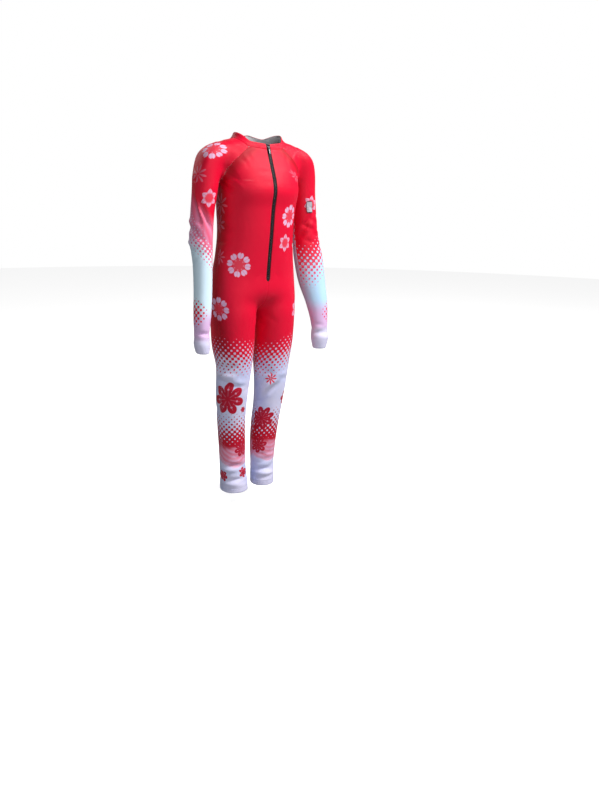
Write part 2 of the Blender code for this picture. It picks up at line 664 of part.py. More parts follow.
def zip_parts(collar_top, front_heights):
    """Tapes, chain, bottom stop, slider and pull, between the neckband's top and the zip's end.

    front_heights are the heights of the rows of the right and the left front panel, which the tapes
    and the chain share.
    """
    slider_length = 0.0086
    slider_high = collar_top - SLIDER_TOP
    slider_low = slider_high - slider_length
    high = collar_top - 0.0006
    for side, name in ((1, "zip_tape_left"), (-1, "zip_tape_right")):
        heights = [z for z in front_heights[side] if ZIP_END + 0.003 < z < high - 0.002]
        heights = np.array([ZIP_END + 0.001] + heights + [(heights[-1] + high) / 2, high])
        offset = np.linspace(TAPE_INNER, TAPE_OUTER, 3) * side
        rows = front_face(offset[None, :], heights[:, None])
        panel(name, rows, BLACK, face=-TAPE_DEPTH, thickness=TAPE_WALL)
    bottom = ZIP_END + 0.0030 + STOP_LENGTH
    high = slider_low - 0.0009
    inner = [z for z in front_heights[1] if bottom + 0.003 < z < high - 0.002]
    heights = np.array([bottom + 0.0003] + inner + [high])
    rows = front_face(np.array([[-CHAIN_HALF, 0.0, CHAIN_HALF]]), heights[:, None])
    panel("zip_chain", rows, BLACK, face=-CHAIN_FACE, thickness=CHAIN_WALL, roughness=0.4)
    rows = front_face(np.array([[-CHAIN_HALF, CHAIN_HALF]]),
                      np.array([[bottom], [bottom - STOP_LENGTH]]))
    panel("zip_stop", rows, METAL, face=-0.0002, thickness=0.0024, roughness=0.35, metallic=0.6)

    seat = front_face(0.0, (slider_high + slider_low) / 2)
    out = normals(seat[None])[0]
    out[0] = 0.0
    out /= np.linalg.norm(out)
    aside = np.array([1.0, 0.0, 0.0])
    down = np.cross(out, aside)
    if down[2] > 0:
        down = -down
    base, deck, hole, crown = -0.0018, 0.0013, 0.0031, 0.0041
    bridge, post_in, post_out = 0.0011, 0.0020, 0.0030
    half = slider_length / 2
    x_edges = [-0.0036, -bridge, bridge, 0.0036]
    t_edges = [-half, -post_out, -post_in, post_in, post_out, half]
    n_edges = [base, deck, hole, crown]

    def slider_cell(i, j, k):
        if k == 0:
            return True
        return i == 1 and (j in (1, 3) or (k == 2 and j == 2))

    blocks("zip_slider", (aside, down, out), (x_edges, t_edges, n_edges), slider_cell, seat, METAL,
           roughness=0.35, metallic=0.6)
    axle = (deck + hole) / 2
    pivot = seat + out * axle
    along = down * math.cos(PULL_REST_TILT) + out * math.sin(PULL_REST_TILT)
    face = out * math.cos(PULL_REST_TILT) - down * math.sin(PULL_REST_TILT)
    rod, inside, arm_out, plate, end = 0.0005, bridge + 0.0004, 0.0027, 0.0042, 0.0195
    x_edges = [-arm_out, -inside, inside, arm_out]
    t_edges = [-rod, rod, plate, end]

    def pull_cell(i, j, _k):
        return j != 1 or i != 1

    blocks("zip_pull", (aside, along, face), (x_edges, t_edges, [-rod, rod]), pull_cell, pivot, METAL,
           roughness=0.35, metallic=0.6)
    return pivot


BADGE_HALF_WIDTH, BADGE_HALF_HEIGHT = 0.0100, 0.0165
BADGE_Z, BADGE_ANGLE = -0.197, math.radians(-6.0)
BADGE_GAP, BADGE_WALL = 0.0004, 0.0010


def badge():
    """Badge on the left upper sleeve, made from the sleeve's own form moved out."""
    rows = []
    for z in np.linspace(BADGE_Z - BADGE_HALF_HEIGHT, BADGE_Z + BADGE_HALF_HEIGHT, 7):
        place = ARM_LEFT.read(z)
        centre = np.array([float(place["x"]), float(place["y"]), z])
        spread = BADGE_HALF_WIDTH / float(place["long"])
        angle = BADGE_ANGLE + np.linspace(-spread, spread, 5)
        heading = np.stack([np.sin(angle), -np.cos(angle), 0 * angle], axis=1)
        rows.append(cast(centre[None], heading))
    panel("sleeve_badge", rows, (0.45, 0.48, 0.55), face=BADGE_GAP + BADGE_WALL, thickness=BADGE_WALL)


def neckband(rims):
    """Neckband over the neckline, from the right edge of the zip round the back to the left edge."""
    line = np.vstack(rims)
    gone = np.concatenate(([0], np.cumsum(np.linalg.norm(np.diff(line, axis=0), axis=1))))
    at = np.linspace(0, gone[-1], COLLAR_COLUMNS + 1)
    line = np.stack([np.interp(at, gone, line[:, axis]) for axis in range(3)], axis=1)
    rows = []
    for share in np.linspace(0, 1, 4):
        z = line[:, 2] + 2 * EDGE_HALF_GAP + COLLAR_HEIGHT * share
        centre = NECK.read(z)["y"]
        start = np.stack([0 * z, centre, z], axis=1)
        heading = np.stack([line[:, 0], line[:, 1] - centre, 0 * z], axis=1)
        row = cast(start, heading)
        rows.append(row)
    rows = np.asarray(rows)
    for end, side in ((0, -1), (-1, 1)):
        rows[:, end] = front_face(ZIP_HALF_OPEN * side, rows[:, end, 2])
    panel("collar", rows, RED)
    return float(rows[-1, 0, 2])


def build():
    clear_scene()
    crotch = crotch_point()
    rims, front_heights = {}, {}
    for side, word in ((-1, "right"), (1, "left")):
        armpit = armpit_point(side)
        raglan = raglan_points(side, armpit)
        fronts, backs = half_body(side, crotch, armpit, raglan)
        sleeves = sleeve_rows(side, armpit, raglan)
        panel("front_" + word, fronts, RED)
        panel("back_" + word, backs, RED)
        closed = CUFF_SPAN[1] + sum(count for _, _, count in SLEEVE_SPANS)
        panel("sleeve_" + word, sleeves, PALE, closed_rows=closed)
        front_heights[side] = [row[0, 2] for row in fronts]
        rims[word] = (fronts[-1], sleeves[-1], backs[-1][::-1])
        ankle = []
        for z in np.linspace(HEM_BOTTOM, HEM_TOP - EDGE_HALF_GAP, 3):
            centre = row_centre(z, crotch, side)
            path = sweep(centre, -math.pi / 2, 1.5 * math.pi, side, z, z)
            ankle.append(even(path, 2 * PANEL_COLUMNS, 0, 0))
        panel("hem_" + word, ankle, PALE, closed_rows=2)
    order = list(rims["right"]) + [piece[::-1] for piece in rims["left"][::-1]]
    collar_top = neckband(order)
    zip_parts(collar_top, front_heights)
    badge()


build()
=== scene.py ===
"""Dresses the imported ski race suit: printed knit panels with sewn seams, hems, zip and badge."""

import math

import bpy
import numpy as np
from bpy.props import FloatProperty, FloatVectorProperty, PointerProperty
from mathutils import Matrix, Vector


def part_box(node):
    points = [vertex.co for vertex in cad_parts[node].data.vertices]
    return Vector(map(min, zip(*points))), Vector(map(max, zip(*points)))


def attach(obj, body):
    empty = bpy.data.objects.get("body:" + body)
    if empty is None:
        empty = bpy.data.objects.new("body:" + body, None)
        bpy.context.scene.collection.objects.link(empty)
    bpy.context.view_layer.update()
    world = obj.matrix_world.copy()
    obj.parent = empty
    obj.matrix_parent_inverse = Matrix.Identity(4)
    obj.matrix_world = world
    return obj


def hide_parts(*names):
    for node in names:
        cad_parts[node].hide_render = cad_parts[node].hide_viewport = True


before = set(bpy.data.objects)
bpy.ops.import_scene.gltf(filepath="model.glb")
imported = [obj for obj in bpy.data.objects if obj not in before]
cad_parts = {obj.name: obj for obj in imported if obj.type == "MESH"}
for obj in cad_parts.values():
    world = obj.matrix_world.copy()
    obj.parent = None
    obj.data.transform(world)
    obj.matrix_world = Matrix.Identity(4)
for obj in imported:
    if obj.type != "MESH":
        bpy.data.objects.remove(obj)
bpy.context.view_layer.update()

bl_info = {
    "name": "Ski race suit",
    "version": (1, 0, 0),
    "blender": (4, 5, 0),
    "location": "View3D > Sidebar > Race suit",
    "description": "Builds the printed cloth, seams, zip and badge of a child's ski race suit",
    "category": "Add Mesh",
}

# Lengths are metres. +X is the wearer's left, -Y the front, +Z up, and the origin is at the middle of
# the shoulder line. The body form below is the one that the solids follow.
HEM_BOTTOM, HEM_TOP = -1.1060, -1.0910
CUFF_RIGHT, CUFF_LEFT = -0.6160, -0.6400
COLLAR_HEIGHT = 0.0160
ZIP_END = -0.4125
ZIP_HALF_OPEN = 0.0065
SLIDER_TOP, SLIDER_LENGTH = 0.0060, 0.0086
PULL_REST_TILT = math.radians(1.5)
FLOOR_Z = -1.150

# Grids. Columns stand closer together at the edges, at these distances from them
EDGE_STEPS = (0.0, 0.0006, 0.0013, 0.0024, 0.0042)
PANEL_COLUMNS, SLEEVE_COLUMNS = 46, 68
ROW_STEP = 0.0045
RAYS, TUBE_RAYS, RAYS_AT_ONCE = 60, 96, 3000
STRAY_ROW = 0.008   # a raglan row further than this from its neighbours is taken from them
SEAM_GAP = 0.00006


class Sections:
    """Rows of named sizes read as smooth curves of their first column."""

    def __init__(self, names, rows):
        data = np.array(sorted(rows), float)
        self.key = data[:, 0]
        self.value = {name: data[:, i] for i, name in enumerate(names.split()) if i}
        self.slope = {}
        step = np.diff(self.key)
        for name, value in self.value.items():
            chord = np.diff(value) / step
            slope = np.empty(len(value))
            slope[0], slope[-1] = chord[0], chord[-1]
            slope[1:-1] = (chord[:-1] * step[1:] + chord[1:] * step[:-1]) / (step[:-1] + step[1:])
            self.slope[name] = slope

    def read(self, at):
        """Every column at the places given, held constant past both ends."""
        at = np.clip(np.asarray(at, float), self.key[0], self.key[-1])
        i = np.clip(np.searchsorted(self.key, at) - 1, 0, len(self.key) - 2)
        step = self.key[i + 1] - self.key[i]
        t = (at - self.key[i]) / step
        a = 2 * t ** 3 - 3 * t ** 2 + 1
        b = t ** 3 - 2 * t ** 2 + t
        c = t ** 3 - t ** 2
        return {name: a * value[i] + (1 - a) * value[i + 1]
                + step * (b * self.slope[name][i] + c * self.slope[name][i + 1])
                for name, value in self.value.items()}


TORSO = Sections("z half_x front back y power", (
    (0.020, 0.150, 0.040, 0.050, 0.016, 2.3),
    (-0.030, 0.140, 0.056, 0.068, 0.014, 2.3),
    (-0.070, 0.130, 0.074, 0.080, 0.012, 2.4),
    (-0.110, 0.126, 0.091, 0.085, 0.011, 2.4),
    (-0.150, 0.125, 0.102, 0.085, 0.012, 2.4),
    (-0.200, 0.122, 0.098, 0.082, 0.018, 2.3),
    (-0.280, 0.120, 0.092, 0.078, 0.022, 2.2),
    (-0.340, 0.126, 0.087, 0.084, 0.026, 2.2),
    (-0.400, 0.135, 0.083, 0.094, 0.030, 2.2),
    (-0.460, 0.139, 0.085, 0.101, 0.034, 2.2),
    (-0.520, 0.140, 0.080, 0.096, 0.034, 2.2)))

# The legs, measured out from the centre plane. The right one stands further out and is wider by the
# last two columns
LEG = Sections("z x half_x front back y power right_out right_wider", (
    (-0.360, 0.060, 0.045, 0.045, 0.050, 0.032, 2.0, 0.000, 0.000),
    (-0.440, 0.066, 0.062, 0.068, 0.078, 0.034, 2.1, 0.000, 0.000),
    (-0.500, 0.0705, 0.0675, 0.076, 0.088, 0.034, 2.1, 0.000, 0.000),
    (-0.560, 0.0720, 0.0660, 0.073, 0.077, 0.035, 2.1, 0.000, 0.000),
    (-0.620, 0.0720, 0.0635, 0.067, 0.069, 0.036, 2.1, 0.000, 0.000),
    (-0.680, 0.0710, 0.0580, 0.059, 0.059, 0.039, 2.1, -0.003, -0.002),
    (-0.760, 0.0695, 0.0510, 0.053, 0.050, 0.045, 2.1, 0.003, 0.000),
    (-0.820, 0.0665, 0.0470, 0.047, 0.050, 0.050, 2.1, 0.006, 0.000),
    (-0.890, 0.0600, 0.0450, 0.042, 0.051, 0.056, 2.1, 0.009, -0.001),
    (-0.960, 0.0540, 0.0430, 0.039, 0.046, 0.060, 2.1, 0.011, 0.000),
    (-1.030, 0.0510, 0.0395, 0.038, 0.041, 0.061, 2.1, 0.012, 0.003),
    (-1.070, 0.0500, 0.0390, 0.040, 0.042, 0.060, 2.1, 0.011, 0.005),
    (-1.110, 0.0500, 0.0390, 0.041, 0.043, 0.060, 2.1, 0.010, 0.006)))

# The arms. turn is the angle of the longer half axis from the side towards the front, degrees
ARM_NAMES = "z x y long short turn"
ARM_RIGHT = Sections(ARM_NAMES, (
    (0.020, 0.140, 0.012, 0.050, 0.050, 0.0),
    (-0.040, 0.154, 0.011, 0.046, 0.046, 0.0),
    (-0.090, 0.165, 0.011, 0.040, 0.042, 0.0),
    (-0.150, 0.172, 0.012, 0.036, 0.039, 0.0),
    (-0.220, 0.181, 0.014, 0.033, 0.036, 0.0),
    (-0.290, 0.187, 0.014, 0.033, 0.036, 0.0),
    (-0.350, 0.187, 0.008, 0.028, 0.032, 0.0),
    (-0.430, 0.192, -0.001, 0.026, 0.029, 0.0),
    (-0.500, 0.200, -0.010, 0.025, 0.028, 0.0),
    (-0.565, 0.207, -0.016, 0.0215, 0.025, 0.0),
    (-0.598, 0.208, -0.019, 0.0220, 0.026, 0.0),
    (-0.622, 0.207, -0.022, 0.0160, 0.020, 0.0)))
ARM_LEFT = Sections(ARM_NAMES, (
    (0.020, 0.140, 0.012, 0.050, 0.050, 0.0),
    (-0.040, 0.154, 0.012, 0.046, 0.046, 0.0),
    (-0.090, 0.164, 0.014, 0.041, 0.042, 0.0),
    (-0.150, 0.171, 0.017, 0.038, 0.038, 10.0),
    (-0.220, 0.179, 0.020, 0.039, 0.036, 25.0),
    (-0.290, 0.187, 0.021, 0.042, 0.036, 30.0),
    (-0.350, 0.192, 0.012, 0.046, 0.034, 30.0),
    (-0.430, 0.199, -0.002, 0.043, 0.032, 30.0),
    (-0.500, 0.209, -0.018, 0.034, 0.029, 30.0),
    (-0.570, 0.214, -0.028, 0.0265, 0.025, 20.0),
    (-0.612, 0.213, -0.032, 0.0275, 0.026, 20.0),
    (-0.646, 0.211, -0.034, 0.0190, 0.018, 20.0)))
ARMS = {-1: ARM_RIGHT, 1: ARM_LEFT}

NECK = Sections("z half_x front back y", (
    (-0.080, 0.0900, 0.066, 0.078, 0.006),
    (-0.045, 0.0850, 0.058, 0.072, 0.006),
    (-0.025, 0.0810, 0.053, 0.066, 0.007),
    (0.000, 0.0755, 0.049, 0.059, 0.008),
    (0.020, 0.0700, 0.046, 0.054, 0.009),
    (0.050, 0.0600, 0.043, 0.050, 0.012)))

# Height of the shoulders over the distance from the centre plane
SHOULDER = Sections("x z", (
    (0.000, 0.002), (0.050, -0.006), (0.080, -0.012), (0.110, -0.018), (0.140, -0.027),
    (0.165, -0.039), (0.185, -0.060), (0.200, -0.100)))
SHOULDER_ROUND = 5.5     # fall of the shoulder towards front and back, per metre

# How wide the blends are over height: arms to torso, and leg to leg
BLEND = Sections("z arm leg", (
    (0.050, 0.050, 0.030), (-0.110, 0.045, 0.030), (-0.150, 0.016, 0.030), (-0.190, 0.003, 0.030),
    (-0.300, 0.002, 0.030), (-0.460, 0.002, 0.020), (-0.500, 0.002, 0.004), (-0.540, 0.001, 0.001),
    (-0.700, 0.001, 0.001)))
CROTCH_FLOOR, CROTCH_ARCH = -0.502, 5.0   # base of the torso and its rise to front and back, per metre
NECK_BLEND = 0.022
HIP_BLEND = 0.030

# The raglan seams and the sleeve's rows above the armpit. share runs from the armpit to the neck, a rise
# is the share of the height between the two. The core is the point inside the shoulder that a row is
# swept round, tilt the way from it to the ridge
RAGLAN = Sections("share front_x front_rise back_x back_rise core_x core_rise tilt", (
    (0.00, 0.1285, 0.00, 0.1285, 0.00, 0.170, 0.00, 0.0),
    (0.25, 0.1250, 0.29, 0.1250, 0.28, 0.157, 0.41, 12.0),
    (0.50, 0.1110, 0.55, 0.1110, 0.54, 0.131, 0.76, 34.0),
    (0.75, 0.0870, 0.78, 0.0870, 0.78, 0.102, 0.93, 62.0),
    (1.00, 0.0600, 1.00, 0.0580, 1.00, 0.078, 1.00, 84.0)))
RAGLAN_TOP = {"front": -0.036, "back": -0.022, "core": -0.062}
NECK_FRONT, NECK_BACK = -0.043, -0.010    # neckline height at the centre front and centre back
ARMPIT_GUESS = -0.145
SHOULDER_Y = 0.012      # of the plane that the armpit and the raglan's rays start from

# Seam between front and back, degrees from the front towards the side
SIDE_SEAM = Sections("z angle", (
    (-1.090, 80.0), (-0.900, 78.0), (-0.760, 72.0), (-0.650, 66.0), (-0.560, 68.0), (-0.460, 80.0),
    (-0.380, 88.0), (-0.150, 90.0)))

# Main folds. angle is degrees from the front towards the wearer's outer side, slant degrees by which
# the fold climbs on the way there, raise metres, troughs negative
FOLD_NAMES = ("limb", "z", "angle", "length", "width", "raise_", "slant")
FOLDS = (
    ("arm_right", -0.235, 40.0, 0.050, 0.0065, -0.0030, 42.0),
    ("arm_right", -0.262, 62.0, 0.052, 0.0060, -0.0034, 36.0),
    ("arm_right", -0.285, 35.0, 0.046, 0.0065, -0.0032, 30.0),
    ("arm_right", -0.300, 105.0, 0.042, 0.0080, 0.0040, 10.0),
    ("arm_right", -0.318, 80.0, 0.046, 0.0060, -0.0034, -14.0),
    ("arm_right", -0.270, 190.0, 0.044, 0.0065, -0.0028, -20.0),
    ("arm_right", -0.572, 40.0, 0.070, 0.0050, -0.0030, 4.0),
    ("arm_left", -0.243, 25.0, 0.044, 0.0060, -0.0030, -30.0),
    ("arm_left", -0.258, -15.0, 0.046, 0.0060, -0.0030, -26.0),
    ("arm_left", -0.282, 30.0, 0.044, 0.0060, -0.0026, -22.0),
    ("arm_left", -0.300, 200.0, 0.044, 0.0070, -0.0028, 16.0),
    ("arm_left", -0.590, 0.0, 0.070, 0.0050, -0.0030, 0.0),
    ("leg_right", -0.724, 20.0, 0.060, 0.0070, 0.0030, 4.0),
    ("leg_right", -0.738, 15.0, 0.060, 0.0060, -0.0026, 2.0),
    ("leg_right", -0.702, 30.0, 0.056, 0.0080, -0.0024, 6.0),
    ("leg_right", -0.760, 190.0, 0.060, 0.0070, -0.0028, 4.0),
    ("leg_right", -1.012, 20.0, 0.062, 0.0070, -0.0032, 8.0),
    ("leg_right", -1.040, 60.0, 0.058, 0.0070, -0.0030, -8.0),
    ("leg_right", -1.050, -30.0, 0.050, 0.0070, -0.0026, 10.0),
    ("leg_right", -1.026, 190.0, 0.060, 0.0080, -0.0030, 4.0),
    ("leg_left", -0.755, -20.0, 0.056, 0.0065, -0.0030, 34.0),
    ("leg_left", -0.735, 30.0, 0.052, 0.0070, -0.0022, -8.0),
    ("leg_left", -0.760, 180.0, 0.060, 0.0070, -0.0028, -4.0),
    ("leg_left", -1.012, -10.0, 0.062, 0.0070, -0.0032, -6.0),
    ("leg_left", -1.034, 40.0, 0.052, 0.0070, -0.0028, 10.0),
    ("leg_left", -1.030, 185.0, 0.060, 0.0080, -0.0030, -4.0),
)


# Finer creases that only the cloth here has, in the same columns as the folds
CREASES = (
    ("torso", -0.062, 46.0, 0.040, 0.0050, -0.0017, 40.0),
    ("torso", -0.074, 52.0, 0.044, 0.0055, -0.0017, 44.0),
    ("torso", -0.060, -44.0, 0.036, 0.0050, -0.0016, -40.0),
    ("torso", -0.128, 74.0, 0.050, 0.0055, -0.0026, 30.0),
    ("torso", -0.150, 70.0, 0.046, 0.0060, -0.0022, 22.0),
    ("torso", -0.132, -72.0, 0.048, 0.0055, -0.0023, -28.0),
    ("torso", -0.158, -68.0, 0.040, 0.0060, -0.0017, -20.0),
    ("torso", -0.268, 76.0, 0.060, 0.0072, -0.0020, 12.0),
    ("torso", -0.300, 84.0, 0.054, 0.0066, -0.0022, -8.0),
    ("torso", -0.322, 66.0, 0.050, 0.0066, -0.0014, -16.0),
    ("torso", -0.280, -80.0, 0.056, 0.0072, -0.0020, -10.0),
    ("torso", -0.312, -72.0, 0.052, 0.0066, -0.0019, 10.0),
    ("torso", -0.270, 150.0, 0.070, 0.0083, -0.0026, 8.0),
    ("torso", -0.292, 206.0, 0.074, 0.0077, -0.0028, -6.0),
    ("torso", -0.314, 172.0, 0.066, 0.0077, -0.0023, 4.0),
    ("torso", -0.120, 118.0, 0.050, 0.0066, -0.0020, -34.0),
    ("torso", -0.122, -118.0, 0.050, 0.0066, -0.0020, 34.0),
    ("torso", -0.395, 22.0, 0.036, 0.0055, -0.0013, -36.0),
    ("torso", -0.395, -22.0, 0.036, 0.0055, -0.0013, 36.0),
    ("arm_right", -0.196, 58.0, 0.040, 0.0055, -0.0023, 50.0),
    ("arm_right", -0.214, 20.0, 0.038, 0.0050, -0.0022, 46.0),
    ("arm_right", -0.250, 100.0, 0.036, 0.0050, -0.0020, 24.0),
    ("arm_right", -0.334, 40.0, 0.040, 0.0055, -0.0022, -20.0),
    ("arm_right", -0.352, 90.0, 0.036, 0.0055, -0.0017, -26.0),
    ("arm_right", -0.306, 200.0, 0.036, 0.0055, -0.0022, 12.0),
    ("arm_right", -0.470, 60.0, 0.034, 0.0055, -0.0013, 20.0),
    ("arm_right", -0.540, 80.0, 0.040, 0.0050, -0.0022, -8.0),
    ("arm_right", -0.556, 10.0, 0.044, 0.0044, -0.0023, 10.0),
    ("arm_right", -0.586, 60.0, 0.050, 0.0050, 0.0017, 2.0),
    ("arm_right", -0.560, 200.0, 0.050, 0.0055, -0.0026, 6.0),
    ("arm_left", -0.206, 16.0, 0.038, 0.0055, -0.0023, -40.0),
    ("arm_left", -0.226, 58.0, 0.040, 0.0050, -0.0020, -34.0),
    ("arm_left", -0.268, 62.0, 0.040, 0.0050, -0.0023, -26.0),
    ("arm_left", -0.300, -20.0, 0.036, 0.0055, -0.0020, -18.0),
    ("arm_left", -0.318, 46.0, 0.040, 0.0055, -0.0019, 14.0),
    ("arm_left", -0.322, 190.0, 0.040, 0.0060, -0.0023, -12.0),
    ("arm_left", -0.574, 24.0, 0.044, 0.0050, -0.0022, 6.0),
    ("arm_left", -0.560, -40.0, 0.040, 0.0050, -0.0020, -10.0),
    ("arm_left", -0.604, 30.0, 0.052, 0.0050, 0.0017, 2.0),
    ("arm_left", -0.574, 196.0, 0.050, 0.0055, -0.0025, -5.0),
    ("leg_right", -0.526, -40.0, 0.050, 0.0060, -0.0019, -42.0),
    ("leg_left", -0.526, -40.0, 0.050, 0.0060, -0.0019, -42.0),
    ("leg_right", -0.545, -64.0, 0.046, 0.0066, -0.0019, -30.0),
    ("leg_left", -0.545, -64.0, 0.046, 0.0066, -0.0019, -30.0),
    ("leg_right", -0.560, 160.0, 0.070, 0.0072, -0.0023, 12.0),
    ("leg_left", -0.560, 160.0, 0.070, 0.0072, -0.0023, -12.0),
    ("leg_right", -0.744, 168.0, 0.050, 0.0060, -0.0023, -10.0),
    ("leg_right", -0.776, 204.0, 0.050, 0.0060, -0.0022, 12.0),
    ("leg_left", -0.742, 200.0, 0.050, 0.0060, -0.0023, 10.0),
    ("leg_left", -0.778, 164.0, 0.050, 0.0060, -0.0022, -12.0),
    ("leg_right", -0.752, -30.0, 0.040, 0.0055, -0.0017, -16.0),
    ("leg_left", -0.716, 10.0, 0.048, 0.0066, 0.0020, 6.0),
    ("leg_right", -0.985, -10.0, 0.050, 0.0060, -0.0020, 12.0),
    ("leg_right", -1.028, -4.0, 0.052, 0.0055, -0.0026, -10.0),
    ("leg_right", -1.058, 26.0, 0.056, 0.0055, -0.0028, 6.0),
    ("leg_right", -1.072, -20.0, 0.050, 0.0050, -0.0023, -6.0),
    ("leg_right", -1.066, 110.0, 0.056, 0.0055, -0.0026, 8.0),
    ("leg_right", -1.056, 180.0, 0.056, 0.0060, -0.0029, -6.0),
    ("leg_left", -0.990, 24.0, 0.050, 0.0060, -0.0020, -10.0),
    ("leg_left", -1.022, -40.0, 0.048, 0.0055, -0.0025, 12.0),
    ("leg_left", -1.052, 10.0, 0.056, 0.0055, -0.0028, -6.0),
    ("leg_left", -1.070, 50.0, 0.050, 0.0050, -0.0023, 6.0),
    ("leg_left", -1.060, 120.0, 0.056, 0.0055, -0.0026, -8.0),
    ("leg_left", -1.058, 190.0, 0.056, 0.0060, -0.0029, 6.0),
    ("torso", -0.112, 66.0, 0.060, 0.0070, -0.0053, 46.0),
    ("torso", -0.140, 78.0, 0.060, 0.0075, -0.0053, 34.0),
    ("torso", -0.128, 60.0, 0.055, 0.0060, 0.0023, 44.0),
    ("torso", -0.118, -66.0, 0.055, 0.0070, -0.0043, -44.0),
    ("torso", -0.250, 84.0, 0.080, 0.0100, -0.0040, 18.0),
    ("arm_right", -0.200, 66.0, 0.096, 0.0070, -0.0069, 64.0),
    ("arm_right", -0.212, 42.0, 0.094, 0.0065, 0.0052, 64.0),
    ("arm_right", -0.224, 16.0, 0.088, 0.0070, -0.0060, 60.0),
    ("arm_right", -0.246, -8.0, 0.070, 0.0065, -0.0037, 56.0),
    ("arm_right", -0.244, 98.0, 0.050, 0.0070, 0.0040, 14.0),
    ("arm_right", -0.263, 94.0, 0.056, 0.0075, -0.0081, 10.0),
    ("arm_right", -0.284, 84.0, 0.050, 0.0065, -0.0037, -12.0),
    ("arm_right", -0.554, 34.0, 0.066, 0.0055, -0.0050, 5.0),
    ("arm_right", -0.572, 20.0, 0.066, 0.0060, 0.0026, -4.0),
    ("arm_left", -0.240, -22.0, 0.072, 0.0060, -0.0047, 44.0),
    ("arm_left", -0.262, -34.0, 0.072, 0.0060, -0.0047, 42.0),
    ("arm_left", -0.252, -6.0, 0.066, 0.0060, 0.0026, 44.0),
    ("arm_left", -0.284, -50.0, 0.060, 0.0065, -0.0037, 36.0),
    ("arm_left", -0.584, -24.0, 0.064, 0.0055, -0.0047, 4.0),
    ("leg_right", -0.676, 66.0, 0.074, 0.0090, -0.0084, -8.0),
    ("leg_right", -0.702, 62.0, 0.080, 0.0080, 0.0078, 4.0),
    ("leg_right", -0.726, 58.0, 0.074, 0.0090, -0.0084, 7.0),
    ("leg_right", -0.756, 84.0, 0.060, 0.0090, -0.0043, 16.0),
    ("leg_right", -0.820, 96.0, 0.060, 0.0090, -0.0040, -14.0),
    ("leg_left", -0.700, -56.0, 0.060, 0.0085, -0.0047, -18.0),
    ("leg_left", -0.772, -30.0, 0.070, 0.0080, -0.0077, 42.0),
    ("leg_left", -0.752, -36.0, 0.062, 0.0075, 0.0040, 42.0),
    ("leg_left", -0.806, -70.0, 0.056, 0.0085, -0.0043, 24.0),
    ("leg_right", -1.010, 34.0, 0.086, 0.0065, -0.0067, 4.0),
    ("leg_right", -1.028, 40.0, 0.080, 0.0060, 0.0040, 2.0),
    ("leg_right", -1.062, 26.0, 0.086, 0.0060, -0.0053, -5.0),
    ("leg_right", -1.076, 44.0, 0.080, 0.0055, 0.0029, 3.0),
    ("leg_left", -1.046, -26.0, 0.078, 0.0065, -0.0067, 3.0),
    ("leg_left", -1.062, -20.0, 0.074, 0.0055, 0.0037, -4.0),
    ("leg_left", -1.078, -40.0, 0.074, 0.0050, -0.0040, 5.0),
    ("leg_left", -0.990, -60.0, 0.056, 0.0070, -0.0037, -10.0),
)


def smooth_step(value, low, high):
    t = np.clip((value - low) / (high - low), 0, 1)
    return t * t * (3 - 2 * t)


def smooth_union(a, b, width):
    share = np.maximum(width - np.abs(a - b), 0) / width
    return np.minimum(a, b) - share ** 3 * width / 6


def smooth_cut(a, b, width):
    return -smooth_union(-a, -b, width)


def column(dx, dy, half_x, front, back, power):
    """Distance from the wall of a section, measured along the line from its centre."""
    depth = np.where(dy < 0, front, back)
    ratio = ((np.abs(dx) / half_x) ** power + (np.abs(dy) / depth) ** power) ** (1 / power)
    ratio = np.maximum(ratio, 1e-4)
    return np.hypot(dx, dy) * (1 - 1 / ratio)


def folds_on(limb, angle, radius, z):
    """Outward shift of a limb's wall from the folds and creases listed for it."""
    shift = np.zeros_like(z)
    for row in FOLDS + CREASES:
        fold = dict(zip(FOLD_NAMES, row))
        if fold["limb"] != limb:
            continue
        slant = math.radians(fold["slant"])
        reach = 0.75 * fold["length"] * abs(math.sin(slant)) + 3 * fold["width"]
        near = np.nonzero(np.abs(z - fold["z"]) < reach)[0]
        if not len(near):
            continue
        turn = (angle[near] - math.radians(fold["angle"]) + math.pi) % (2 * math.pi) - math.pi
        s, t = turn * radius[near], z[near] - fold["z"]
        along = s * math.cos(slant) + t * math.sin(slant)
        across = -s * math.sin(slant) + t * math.cos(slant)
        taper = np.clip(1 - (along / (0.75 * fold["length"])) ** 2, 0, 1) ** 2
        shift[near] += fold["raise_"] * taper * np.exp(-(across / fold["width"]) ** 2)
    return shift


def leg_row(z, side):
    """The leg's section at a height, with the right leg's own place and width."""
    row = LEG.read(z)
    if side < 0:
        row["x"] = row["x"] + row["right_out"]
        for name in ("half_x", "front", "back"):
            row[name] = row[name] + row["right_wider"]
    return row


def leg(x, y, z, side):
    row = leg_row(z, side)
    dx, dy = x * side - row["x"], y - row["y"]
    wall = column(dx, dy, row["half_x"], row["front"], row["back"], row["power"])
    name = "leg_left" if side > 0 else "leg_right"
    return wall - folds_on(name, np.arctan2(dx, -dy), row["half_x"], z)


def arm(x, y, z, side):
    """Distance from the arm, worked out only for points on its side of the body."""
    wall = np.ones_like(z)
    near = np.nonzero(x * side > 0.02)[0]
    x, y, z = x[near], y[near], z[near]
    row = ARMS[side].read(z)
    dx, dy = x * side - row["x"], y - row["y"]
    turn = np.radians(row["turn"])
    across = dx * np.cos(turn) - dy * np.sin(turn)
    ahead = dx * np.sin(turn) + dy * np.cos(turn)
    name = "arm_left" if side > 0 else "arm_right"
    wall[near] = (column(across, ahead, row["long"], row["short"], row["short"], 2.1)
                  - folds_on(name, np.arctan2(dx, -dy), row["short"], z))
    return wall


